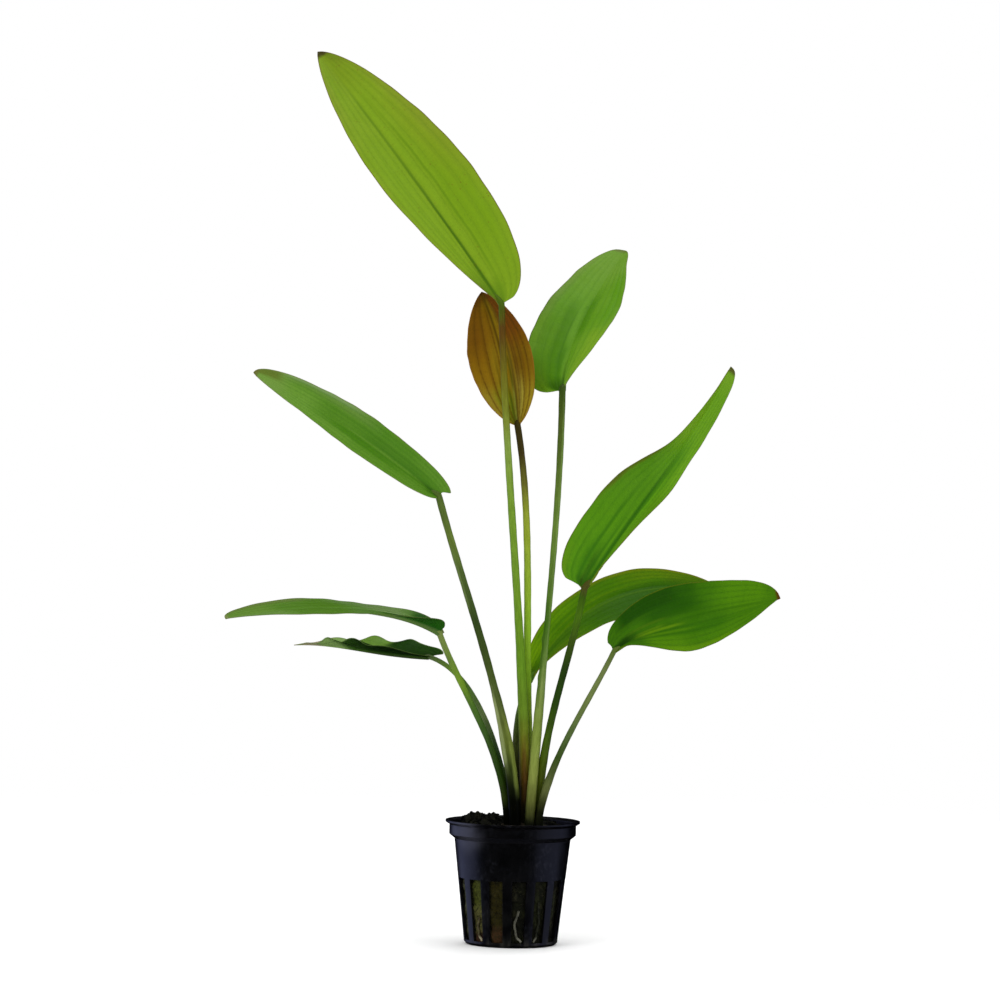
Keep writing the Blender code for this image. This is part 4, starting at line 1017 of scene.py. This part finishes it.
crown = {
    "centre": (4.3, 0.8), "seat": (8.5, 12.0), "around": 120, "rings": 60,
    "shares": (0, 0.18, 0.4, 0.62, 1), "radii": (1.0, 9.0, 10.2, 9.2, 0.6), "heights": (45.9, 45.9, 47.4, 49.0, 50.6),
    "lumps": ((0.35, 4.0, 21), (0.15, 1.4, 22)),  # depth, size and seed
    "scarDepth": 0.12, "scarTurns": 5.2,
}
medium = {
    "clearance": 1.4, "foot": 1.4, "shoulder": 46.2, "top": 48.6, "seat": 46.6,
    "around": 300, "footRings": 8, "sideRings": 90, "topRings": 59,
    "mounds": (  # place, radius and rise
        (-16.2, 0.0, 7.0, 5.0), (-9.5, 8.5, 5.5, 3.2), (-10.5, -8.5, 4.6, 2.6), (-5.5, 13.5, 5.2, 1.6),
        (15.5, 11.0, 5.0, 1.0),
    ),
    "lumps": ((0.22, 5.2, 11), (0.16, 1.7, 12)), "topLumps": 2.2,
}


# Height of the lumpy top: the level, plus rise e^(-d^2/r^2) for each mound, less a round seat for the crown.
def mediumHeight(x, y):
    height = np.full_like(x, medium["top"])
    for moundX, moundY, radius, rise in medium["mounds"]:
        height += rise * np.exp(-((x - moundX) ** 2 + (y - moundY) ** 2) / radius**2)
    away = np.hypot(x - crown["centre"][0], y - crown["centre"][1])
    return height + (medium["seat"] - height) * (1 - eased(away, *crown["seat"]))


# The plug: rings from the middle of its floor out, up inside the wall and in over the top, pushed about by lumps.
def makeMedium(material):
    angle = roundAngles(medium["around"])
    foot, shoulder, lower = medium["foot"], medium["shoulder"], medium["footRings"] + medium["sideRings"]
    sideHeight = np.linspace(foot, shoulder, medium["sideRings"])
    side = wallRadius(np.minimum(sideHeight, pot["bodyTop"])) - medium["clearance"]
    inward = np.linspace(1, 0.01, medium["topRings"] + 1)[1:, None]
    topRadius = inward * side[-1]
    radius = np.concatenate([np.linspace(0.4, 1, medium["footRings"]) * side[0], side, topRadius[:, 0]])
    heaped = mediumHeight(topRadius * np.cos(angle), topRadius * np.sin(angle))
    topHeight = shoulder + (heaped - shoulder) * eased(1 - inward, 0, 0.12)
    sides = np.concatenate([np.full(medium["footRings"], foot), sideHeight])[:, None] * np.ones(len(angle))
    grid = turned(radius[:, None], angle, np.concatenate([sides, topHeight]))
    push = layered(grid, medium["lumps"])[..., None]
    onTop = np.concatenate([np.zeros(lower), eased(np.arange(medium["topRings"]), 0, 12)])[:, None, None]
    way = turned(1, angle, 0) * (1 - onTop) + np.array([0, 0, 1.0]) * onTop * medium["topLumps"]
    return makePiece("mediumPlug", material, *closedSkin(grid + push * way))


crumbs = {
    "count": 520, "reach": 21.6, "size": (0.4, 1.1), "smaller": 0.3,  # by that share at the rim
    "stretch": (0.6, 1.25), "dent": 0.22, "sunk": 0.2,
}


# A ball of 26 points from a cube whose faces are cut in four, for crumbs: unit points and quads.
def crumbForm():
    form = bmesh.new()
    bmesh.ops.create_cube(form, size=2.0)
    bmesh.ops.subdivide_edges(form, edges=form.edges, cuts=1, use_grid_fill=True)
    points = unit(np.array([v.co for v in form.verts]))
    faces = np.array([[v.index for v in f.verts] for f in form.faces])
    form.free()
    return points, faces


# Random turns: each matrix comes from a random quaternion.
def randomTurns(rng, count):
    w, x, y, z = unit(rng.normal(size=(count, 4))).T
    rows = (
        (1 - 2 * (y * y + z * z), 2 * (x * y - z * w), 2 * (x * z + y * w)),
        (2 * (x * y + z * w), 1 - 2 * (x * x + z * z), 2 * (y * z - x * w)),
        (2 * (x * z - y * w), 2 * (y * z + x * w), 1 - 2 * (x * x + y * y)),
    )
    return np.stack([np.stack(row, -1) for row in rows], 1)


# Crumbs on top of the plug: one small ball, stretched, turned and dented for each place, all in one mesh.
def makeCrumbs(material):
    rng, count = np.random.default_rng(31), crumbs["count"]
    out = np.sqrt(rng.uniform(0.0, 1, count))
    angle = rng.uniform(0, full, count)
    x, y = out * crumbs["reach"] * np.cos(angle), out * crumbs["reach"] * np.sin(angle)
    size = rng.uniform(*crumbs["size"], count) * (1.2 - crumbs["smaller"] * out)
    ball, faces = crumbForm()
    stretch = rng.uniform(*crumbs["stretch"], (count, 1, 3))
    dent = 1 + crumbs["dent"] * rng.normal(size=(count, len(ball), 1)).clip(-1.5, 1.5)
    forms = np.einsum("nij,npj->npi", randomTurns(rng, count), ball[None] * stretch * dent)
    centre = np.stack([x, y, mediumHeight(x, y) - size * crumbs["sunk"]], -1)[:, None]
    points = centre + forms * size[:, None, None]
    quads = (faces[None] + (np.arange(count) * len(ball))[:, None, None]).reshape(-1, 4)
    return makePiece("mediumCrumbs", material, points.reshape(-1, 3), [quads])


fibres = {
    "count": 260, "rings": 6, "level": (2.2, 28.0), "lie": (-1.3, 1.3), "length": (2.0, 5.5), "bend": 0.9,
    "heights": (1.8, 40), "lift": 0.32, "bulge": 0.3, "radius": (0.05, 0.12), "taper": 1.6,
}


# Wool fibres on the plug's side: thin three-sided hairs that wander over it, behind the pot's wall.
def makeFibres(material):
    rng, count, rings = np.random.default_rng(47), fibres["count"], fibres["rings"]
    spans = (0, full), fibres["level"], fibres["lie"], fibres["length"]
    heading, level, lie, length = (rng.uniform(*span, (count, 1)) for span in spans)
    bend = rng.normal(0, fibres["bend"], (count, 1))
    u = np.linspace(-0.5, 0.5, rings)[None, :]
    height = np.clip(level + length * u * np.sin(lie + bend * u), *fibres["heights"])
    bulge = fibres["lift"] + fibres["bulge"] * np.cos(u * math.pi) * rng.uniform(0, 1, (count, 1))
    radius = wallRadius(height) - medium["clearance"] + bulge
    angle = heading + length * u * np.cos(lie + bend * u) / radius
    path, out = turned(radius, angle, height), turned(1, angle, 0)
    thick = rng.uniform(*fibres["radius"], (count, 1, 1, 1)) * (1 - fibres["taper"] * u**2)[..., None, None]
    side = unit(np.cross(unit(np.gradient(path, axis=1)), out))
    ring = roundAngles(3)[:, None]
    points = path[:, :, None] + thick * (np.cos(ring) * out[:, :, None] + np.sin(ring) * side[:, :, None])
    points, number = points.reshape(-1, 3), np.arange(count * rings * 3).reshape(count, rings, 3)
    quads, ends = ringQuads(number).reshape(-1, 4), np.concatenate([number[:, 0, ::-1], number[:, -1]])
    if signedVolume(points, quads) < 0:
        quads, ends = quads[:, ::-1], ends[:, ::-1]
    return makePiece("woolFibres", material, points, [quads, ends])


# Crown: a low turned stub, r and h along a rounded profile, with lumps and a few rings of old leaf scars.
def makeCrown(material):
    angle, t = roundAngles(crown["around"]), np.linspace(0, 1, crown["rings"])[:, None]
    radius, height = (np.interp(t, crown["shares"], crown[key]) for key in ("radii", "heights"))
    grid = turned(radius, angle, height) + np.array([*crown["centre"], 0])
    scars = np.sin(height * crown["scarTurns"]) > 0.4
    push = layered(grid, crown["lumps"]) - crown["scarDepth"] * scars
    grid = grid + (push * eased(t, 0.1, 0.3))[..., None] * turned(1, angle, 0.4)
    return makePiece("crownStub", material, *closedSkin(grid))


rootForm = {
    "rings": 90, "around": 14, "fall": 0.55, "swings": 1.6, "crook": 0.2,
    "shares": (0, 0.8, 1), "taper": (1, 0.9, 0.45),
}
roots = {  # colours: darker and paler shade, stains, and the tip's
    "front": {
        "angle": 8.5, "top": 15.5, "radius": 0.5, "swing": -1.4,
        "colours": ((54, 54, 45), (84, 83, 70), (34, 33, 23), (112, 111, 98)),
    },
    "left": {
        "angle": -41.0, "top": 12.0, "radius": 0.5, "swing": -0.8,
        "colours": ((62, 54, 30), (82, 76, 42), (44, 28, 16), (150, 142, 116)),
    },
    "right": {
        "angle": 32.0, "top": 19.0, "radius": 0.45, "swing": 0.8,
        "colours": ((20, 22, 10), (36, 39, 20), (14, 14, 7), (96, 95, 82)),
    },
    "back": {
        "angle": -174.0, "top": 17.0, "radius": 0.55, "swing": -1.3,
        "colours": ((92, 90, 72), (128, 126, 104), (58, 54, 38)),
    },
}


# Root behind a slot: it falls as sin(0.55 pi t), swings as sin(1.6 pi t), and ends in a hook; the radius wavers.
def makeRoot(name, root, material, seed):
    t = np.linspace(0, 1, rootForm["rings"])[:, None]
    heading, fall = math.radians(root["angle"] - 90), rootForm["fall"] * math.pi
    out, along = turned(1, heading, 0), turned(1, heading + math.pi / 2, 0)
    low = pot["slotBottom"] + root["radius"] + 0.2
    height = root["top"] + (low - root["top"]) * np.sin(t * fall) / math.sin(fall)
    side = root["swing"] * np.sin(t * rootForm["swings"] * math.pi) + rootForm["crook"] * np.sin(t * 19 + seed)
    away = wallRadius(height) - pot["wall"] + root["radius"] / 2
    path = out * away + along * side + np.array([0, 0, 1]) * height
    wavering = 1 + 0.08 * np.sin(t * 41 + seed) + 0.05 * np.sin(t * 97)
    radii = root["radius"] * np.interp(t, rootForm["shares"], rootForm["taper"]) * wavering
    return makePiece("root" + name, material, *closedSkin(tube(path, out, radii, roundAngles(rootForm["around"]))))


# What shows in each slot: bearing from the viewer in degrees and half width, heights, colour and strength. The
# colours are dimmed as painted shade behind the pot's wall.
slotLook = [
    ((-69.0, 5.0), (3.0, 26.0), (76, 80, 58), 0.8),
    ((-43.4, 7.5), (15.0, 28.0), (66, 72, 22), 0.85),
    ((-43.4, 7.5), (5.5, 16.0), (88, 86, 46), 0.8),
    ((-43.4, 7.5), (0.0, 5.5), (66, 40, 28), 0.85),
    ((-17.7, 7.5), (8.0, 28.0), (42, 37, 3), 0.8),
    ((-17.7, 7.5), (0.0, 8.0), (62, 38, 20), 0.8),
    ((8.0, 7.5), (3.0, 28.0), (12, 14, 7), 0.8),
    ((33.7, 7.5), (3.0, 28.0), (14, 16, 8), 0.7),
    ((31.5, 2.6), (9.0, 22.0), (40, 44, 22), 0.7),
    ((59.4, 7.5), (2.0, 28.0), (16, 16, 12), 0.7),
    ((60.5, 2.4), (8.0, 22.0), (50, 54, 32), 0.6),
]


# Rock wool and dark crumbs: near black above the slots; mossy, olive, cream and red-brown behind them, dimmed there
# as painted shade behind the pot's wall. The shade share lays near black over it all as painted shade.
def mediumFinish(name, shade):
    finish = Finish(name, **{"Specular IOR Level": 0.08})
    x, y, height = (finish.axis(letter) for letter in "XYZ")
    cloud, fine = finish.noise(3.2, 4), finish.noise(0.7, 3)
    bearing = x.math("ARCTAN2", 0 - y) * (180 / math.pi) + (cloud - 0.5) * 6
    level = height + (cloud - 0.5) * 5
    finish.clouds(cloud.between(0.35, 0.65), (8, 9, 5), (24, 24, 14))
    finish.lay(finish.noise(4.5, 3, seed=7.0).between(0.45, 0.62) * level.between(26, 31, 0.4, 0.0), 44, 48, 18)
    finish.lay(finish.noise(2.4, 3, seed=8.0).between(0.56, 0.68) * level.between(24, 30, 0.3, 0.0), 72, 68, 46)
    speckled = fine.between(0.36, 0.6, 0.45, 1.0)
    for (middle, half), (low, high), colour, amount in slotLook:
        inside = bearing.window(middle - half, middle + half, 2.0) * level.window(low, high, 2.6)
        finish.lay(inside * speckled * amount, *colour)
    # Near black laid as strongly as the shade share: painted shade, on the crumbs at the top of the pot.
    finish.lay(shade, 2, 2, 1)
    return finish.done(0.75 + (fine - 0.5) * 0.3, fine * 0.6 + cloud * 0.4, 0.5, 0.8)


# Bark of the crown: two browns in soft clouds, with paler flecks.
def crownFinish():
    finish = Finish("crownSkin", **{"Specular IOR Level": 0.3})
    cloud, fine = finish.noise(2.6, 3), finish.noise(0.5, 3)
    finish.clouds(cloud.between(0.35, 0.65), (20, 18, 10), (52, 44, 24))
    finish.lay(fine.between(0.55, 0.7) * 0.5, 86, 74, 44)
    return finish.done(0.6 + fine * 0.25, fine * 0.6 + cloud, 0.4, 0.8)


# Roots and fibres: two shades in soft clouds, with stained flecks; a root may end in a pale tip below a height.
def rootFinish(name, dark, pale, stain, tip=None):
    finish = Finish(name, **{"Specular IOR Level": 0.3})
    cloud, fine = finish.noise(2.0, 3), finish.noise(0.4, 3)
    finish.clouds(cloud.between(0.35, 0.65), dark, pale)
    finish.lay(fine.between(0.5, 0.7) * 0.6, *stain)
    if tip:
        finish.lay(finish.axis("Z").between(3.2, 5.0, 0.9, 0.0), *tip)
    return finish.done(0.5 + fine * 0.2, fine, 0.1, 0.6)


# Floor: a flat disc whose edge fades out to the pale room.
def makeFloor():
    finish = Finish("paleFloor", **{"Roughness": 0.7, "Specular IOR Level": 0.2})
    colour, rings, around = room["floorColour"], room["floorRings"], room["floorAround"]
    shaded = tuple(c * room["floorShade"] for c in colour)
    finish.base = finish.mix(finish.noise(40.0, 2).between(0.3, 0.7), colour, shaded)
    material = finish.done()
    reach = finish.node("VectorMath", {"operation": "LENGTH"}, {0: finish.place()}, output="Value")
    near, far = room["floorFade"]
    sockets = {0: reach.falling(near * mm, far * mm), 1: finish.node("BsdfTransparent")}
    sockets[2] = Wire(finish, finish.shader.outputs[0])
    finish.plug(finish.tree.nodes["Material Output"].inputs["Surface"], finish.node("MixShader", {}, sockets))
    radius = np.linspace(5, room["floorRadius"], rings)[:, None]
    grid = turned(radius, roundAngles(around), room["floorHeight"])
    number = np.arange(rings * around).reshape(rings, around)
    middle = np.stack([number[0], np.roll(number[0], -1), np.full(around, rings * around)], -1)
    points = np.concatenate([grid.reshape(-1, 3), [[0, 0, room["floorHeight"]]]])
    floor = makePiece("floor", material, points, [ringQuads(number).reshape(-1, 4)[:, ::-1], middle])
    floor.visible_glossy = False


placeCamera()
placeLamps()
makeFloor()
print("camera, lamps and floor placed")

seat(makePot(plasticFinish()), "pot")
print("net pot made")

seat(makeMedium(mediumFinish("rockWool", 0.0)), "growing_medium")
seat(makeCrumbs(mediumFinish("darkCrumbs", 0.6)), None)
# The fibres' colours are dimmed as painted shade behind the pot's wall.
seat(makeFibres(rootFinish("woolFibres", (26, 25, 12), (44, 41, 21), (16, 15, 8))), None)
seat(makeCrown(crownFinish()), "crown")
for count, (rootName, root) in enumerate(roots.items()):
    title = rootName.capitalize()
    skin = rootFinish("rootSkin" + title, *root["colours"])
    seat(makeRoot(title, root, skin, count), "root_" + rootName)
print("medium, crown and roots made")

for count, (leafName, leaf) in enumerate(leaves.items()):
    title = "".join(word.capitalize() for word in leafName.split("_"))
    stem = makeStalk(title, leaf, stalkFinish(title, leaf["look"]), count * 1.7)
    seat(stem, "stalk_" + leafName)
    sheet = makeBlade(title, leaf, leafFinish(title, leaf["look"]), count * 1.3)
    seat(sheet, "blade_" + leafName)
    print("leaf made:", leafName)

bpy.context.view_layer.update()
